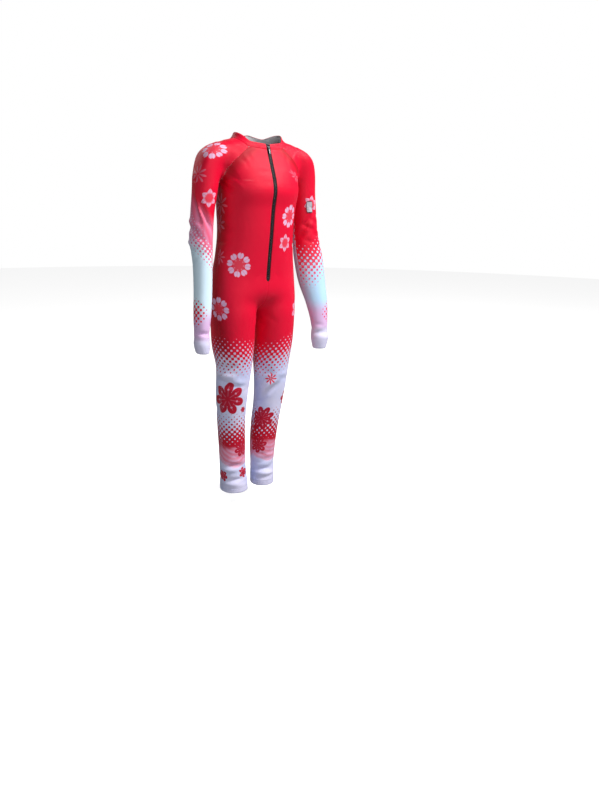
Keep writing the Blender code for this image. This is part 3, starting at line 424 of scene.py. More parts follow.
def body(points):
    """Signed distance, near the surface, from the outer face of the suit."""
    x, y, z = np.asarray(points, float).T
    row = TORSO.read(z)
    dy = y - row["y"]
    trunk = column(x, dy, row["half_x"], row["front"], row["back"], row["power"])
    trunk = trunk - folds_on("torso", np.arctan2(-x, -dy), row["half_x"], z)
    floor = CROTCH_FLOOR - z + CROTCH_ARCH * (y - 0.036) ** 2
    trunk = smooth_cut(trunk, floor, 0.050)
    blend = BLEND.read(z)
    legs = smooth_union(leg(x, y, z, 1), leg(x, y, z, -1), blend["leg"])
    shape = smooth_union(trunk, legs, HIP_BLEND)
    for side in (1, -1):
        shape = smooth_union(shape, arm(x, y, z, side), blend["arm"])
    roof = z - SHOULDER.read(np.abs(x))["z"] + SHOULDER_ROUND * (y - 0.014) ** 2
    shape = smooth_cut(shape, roof * 0.95, 0.030)
    row = NECK.read(z)
    throat = column(x, y - row["y"], row["half_x"], row["front"], row["back"], 2.0)
    throat = np.maximum(throat, -0.090 - z)
    return smooth_union(shape, throat, NECK_BLEND)


def normals(points, step=0.0004):
    flat = np.asarray(points, float).reshape(-1, 3)
    slope = np.empty_like(flat)
    for axis in range(3):
        shift = np.zeros(3)
        shift[axis] = step
        slope[:, axis] = body(flat + shift) - body(flat - shift)
    return (slope / np.linalg.norm(slope, axis=1)[:, None]).reshape(np.shape(points))


def cast(start, heading, fences=(), reach=0.26, steps=53):
    """Points where rays from inside the body first leave it, or cross a fence.

    A fence is a plane given as points on it, one for each ray or one for all, and its normal.
    """
    start, heading = np.broadcast_arrays(np.atleast_2d(start), np.atleast_2d(heading))
    heading = heading / np.linalg.norm(heading, axis=1)[:, None]
    fences = [(np.broadcast_to(np.atleast_2d(point), start.shape), np.asarray(normal, float))
              for point, normal in fences]
    found = np.empty(start.shape)
    for low in range(0, len(start), RAYS_AT_ONCE):
        part = slice(low, low + RAYS_AT_ONCE)
        found[part] = cast_some(start[part], heading[part], [(p[part], n) for p, n in fences], reach, steps)
    return found


def cast_some(start, heading, fences, reach, steps):
    def beyond(t):
        points = start[:, None, :] + heading[:, None, :] * t[:, :, None]
        out = (body(points.reshape(-1, 3)) > 0).reshape(t.shape)
        for point, normal in fences:
            out |= (points - point[:, None, :]) @ normal > 1e-9
        return out

    t = np.broadcast_to(np.linspace(0, reach, steps), (len(start), steps))
    outside = beyond(t)
    outside[:, 0] = False
    first = np.where(outside.any(axis=1), outside.argmax(axis=1), steps - 1)
    step = reach / (steps - 1)
    low, high = (first - 1) * step, first * step
    for _ in range(15):
        middle = (low + high) / 2
        out = beyond(middle[:, None])[:, 0]
        low, high = np.where(out, low, middle), np.where(out, middle, high)
    return start + heading * ((low + high) / 2)[:, None]


def crotch_point():
    """Lowest point of the body in the centre plane."""
    y = np.linspace(-0.05, 0.11, 161)
    low, high = -0.62, -0.42
    for _ in range(24):
        z = (low + high) / 2
        inside = body(np.stack([0 * y, y, 0 * y + z], axis=1)) < 0
        low, high = (low, z) if inside.any() else (z, high)
    value = body(np.stack([0 * y, y, 0 * y + high], axis=1))
    return np.array([0.0, y[value.argmin()], high])


def gap_plane(z, side):
    """Distance from the centre plane to the middle of the gap between torso and arm."""
    limb = ARMS[side].read(z)
    return 0.5 * (TORSO.read(z)["half_x"] + limb["x"] - limb["long"])


def armpit_point(side):
    """Top of the hollow between torso and arm."""
    place = np.array([0.0, SHOULDER_Y, ARMPIT_GUESS])
    for _ in range(8):
        place[0] = gap_plane(place[2], side) * side
        place[2] = cast([[place[0], place[1], -0.105]], [[0.0, 0.0, -1.0]], steps=120)[0, 2]
    return place


def raglan_points(side, armpit, share):
    """The raglan seams and the shoulder ridge, at the shares of the way from the armpit to the neck."""
    row = RAGLAN.read(share)
    out, place = {}, {}
    for name, top in RAGLAN_TOP.items():
        z = armpit[2] + row[name + "_rise"] * (top - armpit[2])
        place[name] = np.stack([row[name + "_x"] * side, SHOULDER_Y + 0 * z, z], axis=1)
    for name, facing in (("front", -1.0), ("back", 1.0)):
        out[name] = cast(place[name], [[0.0, facing, 0.0]])
        out[name][0] = armpit
    tilt = np.radians(row["tilt"])
    out["core"] = place["core"]
    out["ridge"] = cast(place["core"], np.stack([np.cos(tilt) * side, 0 * tilt, np.sin(tilt)], axis=1))
    return out


def sweep(centre, first, last, through, z_first, z_last, fences, rays=RAYS):
    """Rows of points on the surface, from angle first to last round each row's centre."""
    t = np.linspace(0, 1, rays + 1)
    angle = first[:, None] + (last - first)[:, None] * t
    z = z_first[:, None] + (z_last - z_first)[:, None] * t
    start = np.stack([0 * z + centre[:, :1], 0 * z + centre[:, 1:2], z], axis=2)
    heading = np.stack([np.sin(angle) * through, -np.cos(angle), 0 * z], axis=2)
    fences = [(np.repeat(np.broadcast_to(p, centre.shape), rays + 1, axis=0), n) for p, n in fences]
    return cast(start.reshape(-1, 3), heading.reshape(-1, 3), fences).reshape(len(centre), rays + 1, 3)


def angle_of(point, centre, side):
    return np.arctan2((point[..., 0] - centre[..., 0]) * side, -(point[..., 1] - centre[..., 1]))


def length_along(path):
    """How far each point of a path is along it."""
    return np.concatenate(([0], np.cumsum(np.linalg.norm(np.diff(path, axis=0), axis=1))))


def points_along(at, gone, path):
    """The path's own values at the distances given."""
    return np.stack([np.interp(at, gone, path[:, axis]) for axis in range(3)], axis=1)


def spread_row(path, columns, trim_start=SEAM_GAP, trim_end=SEAM_GAP):
    """The path divided into columns that stand closer at both ends, and how far each is along it."""
    gone = length_along(path)
    total = gone[-1] - trim_start - trim_end
    edge = np.array(EDGE_STEPS) * min(1.0, total / (5 * EDGE_STEPS[-1]))
    inner = np.linspace(edge[-1], total - edge[-1], columns - 2 * (len(edge) - 1) + 1)
    along = np.concatenate((edge[:-1], inner, (total - edge[:-1])[::-1]))
    at = along + trim_start
    return points_along(at, gone, path), along


class Grid:
    """Rows of surface points with their normals, cloth coordinates and distances from the edges."""

    def __init__(self, rows, along, v, zero):
        self.points = np.asarray(rows)
        self.along = np.asarray(along)
        self.from_end = self.along[:, -1:] - self.along
        self.v = v if np.ndim(v) == 2 else np.broadcast_to(np.asarray(v)[:, None], self.along.shape)
        self.u = {"end": self.from_end, "minus_end": -self.from_end,
                  "middle": self.along[:, -1:] / 2 - self.along, "start": self.along}[zero]
        self.normals = normals(self.points)
        step = np.linalg.norm(np.diff(self.points, axis=0), axis=2)
        zero_row = np.zeros((1, step.shape[1]))
        self.from_bottom = np.vstack((zero_row, np.cumsum(step, axis=0)))
        self.from_top = self.from_bottom[-1:] - self.from_bottom
        self.relief = np.zeros(self.along.shape)

    def dip(self, distance, depth, width=0.0028):
        """Lowers the cloth towards a seam or an edge."""
        self.relief -= depth * (1 - smooth_step(distance, 0, width))

    def line(self, row=None, column=None, out=0.0):
        """Points and normals along a row or a column, on the cloth's face."""
        pick = (slice(None), column) if row is None else (row, slice(None))
        n = self.normals[pick]
        return self.points[pick] + n * (self.relief[pick] + out)[:, None], n


def heights(low, high, step, close_low=False, close_high=False):
    """Row heights between two ends, closer at the ends where asked."""
    edge = np.array(EDGE_STEPS)
    start = low + edge[:-1] if close_low else np.array([])
    finish = (high - edge[:-1])[::-1] if close_high else np.array([])
    a, b = (low + edge[-1] if close_low else low), (high - edge[-1] if close_high else high)
    inner = np.linspace(a, b, max(2, int(round((b - a) / step)) + 1))
    return np.concatenate((start, inner, finish))


def raglan_shares():
    share = np.linspace(0, 1, 27) ** 1.25
    return np.concatenate((share[:-1], 1 - np.array([0.024, 0.013, 0.006]), [1.0]))


def row_centre(z, crotch, side):
    spread = 1 - smooth_step(z, crotch[2] + 0.012, crotch[2] + 0.120)
    limb, trunk = leg_row(z, side), TORSO.read(z)
    return np.stack([limb["x"] * spread * side, limb["y"] * spread + trunk["y"] * (1 - spread), z], axis=1)


def open_front(path, side):
    """The path without the stretch taken up by the zip opening."""
    half = ZIP_HALF_OPEN * float(smooth_step(path[0, 2], ZIP_END - 0.001, ZIP_END + 0.004))
    if half < SEAM_GAP:
        return path
    out = path[:, 0] * side
    k = int(np.argmax(out > half))
    t = (half - out[k - 1]) / (out[k] - out[k - 1])
    cut = path[k - 1] + t * (path[k] - path[k - 1])
    return np.vstack([cut[None], path[k:]])


def half_body(side, crotch, armpit, share, raglan):
    """Grids of the front and the back panel of one side, each from the centre to the side seam."""
    outward = np.array([side, 0.0, 0.0])
    middle = (np.zeros(3), -outward)
    legs = heights(HEM_TOP + SEAM_GAP, crotch[2] - 0.001, ROW_STEP, close_low=True)
    rise = np.array([0.0, 0.001, 0.0025, 0.0045, 0.007, 0.010])
    trunk = np.concatenate((crotch[2] + rise, heights(crotch[2] + 0.014, armpit[2] - 0.0004, ROW_STEP)))
    out = []
    for facing in (-1.0, 1.0):
        rows, along = [], []
        turn = -math.pi / 2 if facing < 0 else 1.5 * math.pi
        centre = row_centre(legs, crotch, side)
        seam = np.radians(SIDE_SEAM.read(legs)["angle"])
        paths = list(sweep(centre, 0 * legs + turn, seam, side, legs, legs, [middle]))

        centre = row_centre(trunk, crotch, side)
        start = np.stack([0 * trunk, 0 * trunk + crotch[1], trunk], axis=1)
        mid = cast(start, [[0.0, facing, 0.0]])
        mid[0] = crotch
        first = angle_of(mid, centre, side)
        if facing > 0:
            first = first % (2 * math.pi)
        seam = np.radians(SIDE_SEAM.read(trunk)["angle"])
        gap = np.stack([gap_plane(trunk, side) * side, 0 * trunk, 0 * trunk], axis=1)
        torso = sweep(centre, first, seam, side, trunk, trunk, [middle, (gap, outward)])
        torso[:, 0] = mid
        paths += list(torso)

        neck_z = NECK_FRONT if facing < 0 else NECK_BACK
        z_mid = (armpit[2] + (neck_z - armpit[2]) * share)[1:]
        centre = np.stack([0 * z_mid, TORSO.read(z_mid)["y"], z_mid], axis=1)
        mid = cast(centre, [[0.0, facing, 0.0]])
        end = raglan["front" if facing < 0 else "back"][1:]
        first = np.full(len(z_mid), 0.0 if facing < 0 else math.pi)
        chest = sweep(centre, first, angle_of(end, centre, side), side, z_mid, end[:, 2],
                      [middle, (end, outward)])
        chest[:, 0], chest[:, -1] = mid, end
        paths += list(chest)

        for path in paths:
            if facing < 0 and path[0, 2] > ZIP_END - 0.001:
                path = open_front(path, side)
            row, gone = spread_row(path, PANEL_COLUMNS)
            rows.append(row)
            along.append(gone)
        grid = Grid(rows, along, np.asarray(rows)[:, :, 2], "end" if facing < 0 else "minus_end")
        out.append(grid)
    return out


def sleeve_grid(side, armpit, share, raglan):
    """Grid of a sleeve from the cuff up, and how many of its rows close on themselves."""
    cuff = CUFF_LEFT if side > 0 else CUFF_RIGHT
    z = np.concatenate((heights(cuff, armpit[2], ROW_STEP, close_low=True)[:-1], [armpit[2]]))
    place = ARMS[side].read(z)
    centre = np.stack([place["x"] * side, place["y"], z], axis=1)
    first = np.full(len(z), -math.pi / 2)
    first[-1] = angle_of(armpit, centre[-1], side)
    outward = np.array([side, 0.0, 0.0])
    gap = np.stack([gap_plane(z, side) * side, 0 * z, 0 * z], axis=1)
    lower = sweep(centre, first, first + 2 * math.pi, side, z, z, [(gap, -outward)], rays=TUBE_RAYS)
    lower[:, -1] = lower[:, 0]
    lower[-1, 0] = lower[-1, -1] = armpit
    rows, along = zip(*(spread_row(path, SLEEVE_COLUMNS, 0, 0) for path in lower))
    rows, along = list(rows), list(along)
    for j in range(1, len(share)):
        front, back, ridge, core = (raglan[name][j] for name in ("front", "back", "ridge", "core"))
        across = np.cross(back - front, ridge - (front + back) / 2) * side
        across /= np.linalg.norm(across)
        core = core - np.dot(core - front, across) * across
        up = (ridge - core) / np.linalg.norm(ridge - core)
        aside = np.cross(across, up)
        if np.dot(aside, back - front) < 0:
            aside = -aside
        first, last = (math.atan2(np.dot(point - core, aside), np.dot(point - core, up))
                       for point in (front, back))
        first -= 2 * math.pi if first > 0 else 0
        last += 2 * math.pi if last < 0 else 0
        angle = np.linspace(first, last, TUBE_RAYS + 1)[:, None]
        chord = (front + back) / 2
        fences = [(chord, chord - ridge)] if np.dot(core - chord, chord - ridge) < 0 else []
        path = cast(core[None], np.cos(angle) * up + np.sin(angle) * aside, fences)
        path[0], path[-1] = front, back
        row, gone = spread_row(path, SLEEVE_COLUMNS)
        rows.append(row)
        along.append(gone)
    for k in range(len(z) + 1, len(rows) - 1):
        between = (rows[k - 1] + rows[k + 1]) / 2
        if np.abs(rows[k] - between).max() > STRAY_ROW:
            between[0], between[-1] = rows[k][0], rows[k][-1]
            rows[k], along[k] = between, (along[k - 1] + along[k + 1]) / 2
    rows = np.asarray(rows)
    middle = rows[:, SLEEVE_COLUMNS // 2]
    climb = np.cumsum(np.linalg.norm(np.diff(middle[len(z) - 1:], axis=0), axis=1))
    v = np.concatenate((z, armpit[2] + climb))
    return Grid(rows, along, v, "middle"), len(z) - 1


def front_face(x, z):
    """Points on the front of the suit at the distances from the centre plane and heights given."""
    x, z = np.broadcast_arrays(np.asarray(x, float), np.asarray(z, float))
    start = np.stack([x.ravel(), 0 * x.ravel() + 0.005, z.ravel()], axis=1)
    return cast(start, [[0.0, -1.0, 0.0]]).reshape(x.shape + (3,))


# Cloth pieces: width and length of the flat cut, its area, and what each is sewn to
CUTS = {
    "front_right": (0.21, 1.11, 0.165, ("back_right", "front_left")),
    "front_left": (0.21, 1.11, 0.165, ("back_left", "front_right")),
    "back_right": (0.267, 1.146, 0.19, ("front_right", "back_left")),
    "back_left": (0.267, 1.146, 0.19, ("front_left", "back_right")),
    "sleeve_right": (0.245, 0.745, 0.125, ("front_right", "back_right")),
    "sleeve_left": (0.255, 0.766, 0.145, ("front_left", "back_left")),
    "collar": (0.483, 0.022, 0.0090, ("front_right", "front_left")),
    "hem_right": (0.294, 0.016, 0.0047, ("front_right", "back_right")),
    "hem_left": (0.256, 0.016, 0.0040, ("front_left", "back_left")),
}

# The sleeve badge: its cut, height on the sleeve, turn from the sleeve's side, thickness and gap under it,
# and the loops of its bound border
BADGE_CUT = (0.020, 0.033)
BADGE_Z, BADGE_TURN = -0.197, math.radians(-6.0)
BADGE_WALL, BADGE_RAISE = 0.0009, 0.0004
LOOP_PITCH, LOOP_LEAN = 0.00085, 1.35

# Sewing: the columns of a panel that carry stitches, rows of stitches above the cuff and the ankle band's
# edge and the neckband's seam, and the height under which the thread is white
FIRST_SEWN, LAST_SEWN = 3, -4
CUFF_STITCH, HEM_STITCHES, COLLAR_STITCH = 0.0128, (0.0100, 0.0124), 0.0028
WHITE_THREAD_FROM = -0.62
KNIT_WALE, KNIT_COURSE = 0.0013, 0.0010
METAL_SMOOTH = 40.0     # zip metal is shaded smooth below this angle, degrees

# The print's heights on the body panels: dots from red to white, and from white to red over the ankle
THIGH_FADE, SHIN_FADE, LEFT_LOWER = (-0.562, -0.694), (-0.812, -0.925), 0.012
THIGH_DOTS, SHIN_DOTS = 0.0182, 0.0175

# Print flowers, by formula: piece, kind, cloth coordinates of the centre, radius, petals, turn in degrees
FLOWERS = (
    ("front_right", "round", 0.0755, -0.3630, 0.0370, 8, 11.0),
    ("front_right", "round", 0.0085, -0.4940, 0.0370, 8, 5.0),
    ("back_right", "round", 0.0085, -0.4940, 0.0370, 8, 5.0),
    ("sleeve_right", "round", 0.0340, -0.0280, 0.0370, 8, 20.0),
    ("front_left", "round", 0.1080, -0.2240, 0.0340, 8, 0.0),
    ("front_left", "pointed", 0.1165, -0.3010, 0.0270, 6, 90.0),
    ("front_left", "pointed", 0.0330, -0.5080, 0.0340, 6, 30.0),
    ("front_left", "star", 0.0575, -0.1120, 0.0200, 8, 0.0),
    ("front_right", "star", 0.0060, -0.1930, 0.0330, 8, 10.0),
    ("front_right", "star", -0.0050, -0.2480, 0.0300, 8, 30.0),
    ("back_right", "star", -0.0050, -0.2480, 0.0300, 8, 30.0),
    ("back_right", "star", 0.0060, -0.1930, 0.0330, 8, 10.0),
    ("front_right", "star", 0.0100, -0.3420, 0.0240, 8, 0.0),
    ("sleeve_right", "star", 0.0160, -0.1100, 0.0290, 8, 12.0),
    ("sleeve_right", "pointed", 0.0560, -0.1770, 0.0260, 6, 90.0),
    ("sleeve_left", "pointed", 0.0560, -0.1880, 0.0260, 6, 20.0),
    ("front_right", "dark", 0.0250, -0.7780, 0.0560, 7, 15.0),
    ("back_right", "dark", 0.0250, -0.7780, 0.0560, 7, 15.0),
    ("front_right", "dark", 0.0790, -0.8190, 0.0110, 6, 0.0),
    ("front_right", "dark", 0.0760, -1.0400, 0.0190, 6, 30.0),
    ("front_left", "spark", 0.0970, -0.7290, 0.0200, 8, 0.0),
    ("front_left", "dark", 0.1000, -0.8670, 0.0430, 8, 20.0),
    ("front_left", "dark", 0.0200, -0.8020, 0.0260, 6, 0.0),
    ("front_left", "dark", 0.0950, -0.9620, 0.0300, 7, 40.0),
    ("front_right", "dark", 0.0700, -0.9560, 0.0280, 7, 10.0),
    ("front_right", "dark", -0.0020, -1.0500, 0.0200, 6, 10.0),
    ("back_right", "dark", -0.0020, -1.0500, 0.0200, 6, 10.0),
    ("back_right", "round", -0.1500, -0.3900, 0.0370, 8, 15.0),
    ("back_left", "round", -0.1200, -0.2350, 0.0370, 8, 40.0),
    ("back_left", "star", -0.0900, -0.3300, 0.0300, 8, 10.0),
    ("back_right", "star", -0.1200, -0.2250, 0.0300, 8, 25.0),
    ("back_left", "round", -0.0600, -0.4700, 0.0340, 8, 30.0),
    ("back_left", "dark", -0.0900, -0.7900, 0.0440, 7, 15.0),
    ("back_right", "dark", -0.1000, -0.8300, 0.0360, 8, 35.0),
)

# Lights: name, place, side of the square, power, colour. The sky is dim for all but the camera
LIGHTS = (
    ("key", (1.5, -1.7, 2.1), 0.9, 150.0, (1.0, 0.985, 0.98)),
    ("front", (-0.35, -2.6, 0.3), 1.0, 20.0, (0.95, 0.97, 1.0)),
    ("fill", (-2.2, -0.3, -0.5), 0.9, 5.0, (0.90, 0.95, 1.0)),
    ("rim", (-0.4, 2.4, 1.2), 1.6, 14.0, (1.0, 1.0, 1.0)),
)
SKY_LIGHT = 0.17
CAMERA_PLACE = (-1.128728, -1.806342, -0.189)
CAMERA_HEADING = math.radians(-32.0) - 0.061231
CAMERA_PITCH, CAMERA_ROLL = math.radians(15.846446), math.radians(1.0)
CAMERA_LENS, CAMERA_FILM = 24.0 * 690.0 / 800.0, 24.0
LIGHT_AIM = Vector((0, 0, -0.5))


# Materials

class Value:
    """A number or vector socket of a material that can be used in sums."""

    def __init__(self, graph, socket):
        self.graph, self.socket = graph, socket

    def of(self, operation, *others, clamp=False):
        node = self.graph.node("ShaderNodeMath", {"operation": operation, "use_clamp": clamp})
        for slot, item in zip(node.inputs, (self,) + others):
            self.graph.feed(slot, item)
        return Value(self.graph, node.outputs[0])

    def __add__(self, other):
        return self.of("ADD", other)

    def __sub__(self, other):
        return self.of("SUBTRACT", other)

    def __mul__(self, other):
        return self.of("MULTIPLY", other)

    def __truediv__(self, other):
        return self.of("DIVIDE", other)

    def __rsub__(self, other):
        return (self * -1.0) + other

    __radd__ = __add__
    __rmul__ = __mul__

    def ramp(self, low, high, smooth=True):
        """0 at low, 1 at high, and eased between them."""
        settings = {"interpolation_type": "SMOOTHSTEP" if smooth else "LINEAR"}
        values = {"Value": self, "From Min": low, "From Max": high}
        node = self.graph.node("ShaderNodeMapRange", settings, values)
        return Value(self.graph, node.outputs[0])

    def most(self, other):
        return self.of("MAXIMUM", other)

    def least(self, other):
        return self.of("MINIMUM", other)

    def size(self):
        return self.of("ABSOLUTE")


class Graph:
    """A material's nodes, made through one method."""

    def __init__(self, name, roughness, **fixed):
        self.material = bpy.data.materials.new(name)
        self.material.use_nodes = True
        self.tree = self.material.node_tree
        self.shader = self.tree.nodes["Principled BSDF"]
        self.shader.inputs["Roughness"].default_value = roughness
        for key, value in fixed.items():
            self.shader.inputs[key.replace("_", " ")].default_value = value

    def feed(self, slot, item):
        if isinstance(item, Value):
            self.tree.links.new(item.socket, slot)
        else:
            slot.default_value = item

    def node(self, kind, settings=None, values=None):
        node = self.tree.nodes.new(kind)
        for key, value in (settings or {}).items():
            setattr(node, key, value)
        for key, value in (values or {}).items():
            self.feed(node.inputs[key], value)
        return node

    def cloth(self):
        """The piece's own cloth coordinates in metres."""
        node = self.node("ShaderNodeUVMap", {"uv_map": "cloth"})
        split = self.node("ShaderNodeSeparateXYZ", values={0: Value(self, node.outputs[0])})
        return Value(self, split.outputs[0]), Value(self, split.outputs[1])

    def place(self):
        """Object coordinates."""
        return Value(self, self.node("ShaderNodeTexCoord").outputs["Object"])

    def noise(self, where, scale, detail=2.0, roughness=0.5):
        node = self.node("ShaderNodeTexNoise", values={
            "Vector": where, "Scale": scale, "Detail": detail, "Roughness": roughness})
        return Value(self, node.outputs["Fac"])

    def join(self, x, y, z=0.0):
        node = self.node("ShaderNodeCombineXYZ", values={0: x, 1: y, 2: z})
        return Value(self, node.outputs[0])

    def mix(self, share, a, b):
        """Colour a where share is 0 and b where it is 1."""
        node = self.node("ShaderNodeMix", {"data_type": "RGBA"}, {0: share})
        for slot, colour in ((node.inputs[6], a), (node.inputs[7], b)):
            self.feed(slot, colour if isinstance(colour, Value) else (*colour[:3], 1.0))
        return Value(self, node.outputs[2])

    def bump(self, height, distance, strength=1.0):
        node = self.node("ShaderNodeBump", values={
            "Height": height, "Distance": distance, "Strength": strength})
        self.feed(self.shader.inputs["Normal"], Value(self, node.outputs[0]))

    def paint(self, colour):
        self.feed(self.shader.inputs["Base Color"], colour)


def knit_graph(name):
    return Graph(name, 0.42, Sheen_Weight=0.02, Sheen_Roughness=0.4, Specular_IOR_Level=0.24)


def knit(graph, u, v, depth=0.00006):
    """Fine upright wales and soft unevenness of a stretch knit, as bump and roughness."""
    wale = (u * (2 * math.pi / KNIT_WALE)).of("SINE")
    course = (v * (2 * math.pi / KNIT_COURSE)).of("SINE")
    where = graph.join(u, v)
    soft = graph.noise(where, 60.0, 3.0)
    graph.bump(wale * 0.30 + course * 0.22 + soft * 1.1, depth * 3)
    graph.feed(graph.shader.inputs["Roughness"], soft * 0.10 + 0.37)


def dots(graph, u, v, pitch, share, soft=0.10):
    """Share of print at each point of a diamond lattice of dots that grow until they merge."""
    turn = 2 * math.pi / pitch
    wave = ((u + v) * turn).of("COSINE") + ((u - v) * turn).of("COSINE")
    height = wave * 0.25 + 0.5
    edge = 1.0 - share
    node = graph.node("ShaderNodeMapRange", {"interpolation_type": "SMOOTHSTEP"}, {
        "Value": height, "From Min": edge - soft, "From Max": edge + soft})
    reach = share.ramp(0.0, 0.06)
    return Value(graph, node.outputs[0]) * reach


FLOWER_NAMES = ("panel", "kind", "u", "v", "radius", "petals", "turn")


def flower(u, v, spec):
    """Two masks of one flower: its pale part, and its coral or dark part."""
    du, dv = u - spec["u"], v - spec["v"]
    r = (du * du + dv * dv).of("SQRT") / spec["radius"]
    count = spec["petals"]
    turn = dv.of("ARCTAN2", du) + math.radians(spec["turn"])
    cell = (turn * (count / (2 * math.pi)) + 20.5)
    aside = (cell.of("FRACT") - 0.5).size() * (2 * math.pi / count)
    x, y = r * aside.of("COSINE"), r * aside.of("SINE")
    kind = spec["kind"]
    if kind == "star":
        width = 0.075 - x * 0.05
        ray = (y / width.most(0.004)).ramp(1.3, 0.6) * r.ramp(1.0, 0.86) * r.ramp(0.10, 0.2)
        petal = ((x - 0.62) * (x - 0.62) / 0.11 + y * y / 0.012).ramp(1.25, 0.8)
        return (ray * 0.6).most(petal * 0.75), None
    if kind == "round":
        spread = 0.86 * math.pi / count
        d = ((x - 0.74) * (x - 0.74) * 1.15 + y * y * (0.27 / (0.74 * spread)) ** 2).of("SQRT")
        petal = d.ramp(0.30, 0.22)
        notch = ((x - 1.03) * (x - 1.03) + y * y * 2.0).of("SQRT").ramp(0.09, 0.17)
        vein = y.ramp(0.015, 0.05) * 0.35 + 0.65
        core = r.ramp(0.54, 0.46)
        seed = ((x - 0.40) * (x - 0.40) + y * y).of("SQRT").ramp(0.060, 0.03)
        return (petal * notch * vein).most(seed * 0.45), petal.most(core)
    if kind == "pointed":
        width = (x * math.pi).of("SINE") * 0.30
        petal = (y - width).ramp(0.03, -0.03) * r.ramp(1.0, 0.94) * r.ramp(0.10, 0.16)
        vein = y.ramp(0.02, 0.05)
        return petal * (vein * 0.4 + 0.4) * x.ramp(0.36, 0.62), petal.most(r.ramp(0.30, 0.24))
    if kind == "spark":
        ray = (y / (0.10 - x * 0.06).most(0.004)).ramp(1.3, 0.6) * r.ramp(1.0, 0.86) * r.ramp(0.06, 0.12)
        return ray * 0.0, ray.most(((x - 0.62) * (x - 0.62) / 0.11 + y * y / 0.016).ramp(1.25, 0.8))
    spread = 0.86 * math.pi / count
    d = ((x - 0.64) * (x - 0.64) * 1.1 + y * y * (0.34 / (0.66 * spread)) ** 2).of("SQRT")
    petal = d.ramp(0.37, 0.33).most(r.ramp(0.46, 0.42))
    seed = ((x - 0.56) * (x - 0.56) + y * y).of("SQRT").ramp(0.075, 0.04)
    rib = y.ramp(0.030, 0.012) * r.ramp(0.82, 0.70) * r.ramp(0.12, 0.20) * 0.22
    return (seed * 0.75).most(rib) * petal, petal


def strew(graph, u, v, panel, colour, ink):
    """The colour with the panel's flowers printed over it."""
    for row in FLOWERS:
        spec = dict(zip(FLOWER_NAMES, row))
        if spec["panel"] != panel:
            continue
        pale, body_mask = flower(u, v, spec)
        faint = 0.34 if spec["kind"] == "star" else 1.0
        if body_mask is not None:
            colour = graph.mix(body_mask, colour, ink["dark" if spec["kind"] == "dark" else "coral"])
        light = ink["blush"] if spec["kind"] == "dark" else ink["lilac"]
        colour = graph.mix(pale * faint, colour, light)
    return colour


def suit_print(panel, ink):
    """Body panels: red above, fading through dots to white on the legs, with red again over the ankle; the
    red is darkened by painted shade towards the side seams.
    """
    graph = knit_graph("print_" + panel)
    u, v = graph.cloth()
    where = graph.join(u, v)
    uneven = graph.noise(where, 22.0, 2.0) * 0.03
    left = panel.endswith("left")
    level = v + u.size() * (0.28 if left else 0.06) + uneven
    low = LEFT_LOWER if left else 0.0
    fade = level.ramp(THIGH_FADE[0] + low, THIGH_FADE[1] + low, smooth=False)
    white = dots(graph, u, v, THIGH_DOTS, fade)
    clear = fade.ramp(0.82, 1.0)
    white = white.most(clear)
    back = panel.startswith("back")
    shin = v + uneven
    lobe = (u * (math.pi / 0.052) + 0.7).of("SINE").size() * 0.020
    foot = (shin + lobe).ramp(-0.962, -0.954)
    band = shin.ramp(*SHIN_FADE, smooth=False) * foot
    red_again = dots(graph, u + 0.006, v, SHIN_DOTS, band)
    red_again = red_again.most(shin.ramp(-0.905, -0.930) * foot)
    if back:
        red_again = red_again * 0.9
    along = (u / 0.128 + 10.15).of("FRACT") * 0.128 - 0.064
    reach = (along * along + (v + 0.930) * (v + 0.930)).of("SQRT") + uneven * 0.6
    wash = shin.ramp(-0.925, -0.945) * reach.ramp(0.104, 0.090)
    ring = (reach / 0.0150).of("FRACT")
    arc = ring.ramp(0.0, 0.30) * ring.ramp(1.0, 0.45) * 0.85
    paper = graph.mix(graph.noise(where, 11.0, 3.0).ramp(0.35, 0.65), ink["white"], ink["white_blue"])
    light = graph.mix(v.ramp(-0.60, -0.66), ink["lilac"], paper)
    # Painted shade: the red darkens towards the side seams and stands in for the shade on the sides of the
    # body
    red = graph.mix(u.size().ramp(0.046, 0.008) * 0.8, ink["red"], ink["side"])
    colour = graph.mix(white, red, light)
    colour = graph.mix(red_again, colour, ink["deep"])
    pink = graph.mix(arc, ink["blush"], ink["pink"])
    colour = graph.mix(wash * 0.9, colour, pink)
    colour = strew(graph, u, v, panel, colour, ink)
    graph.paint(colour)
    knit(graph, u, v)
    return graph.material


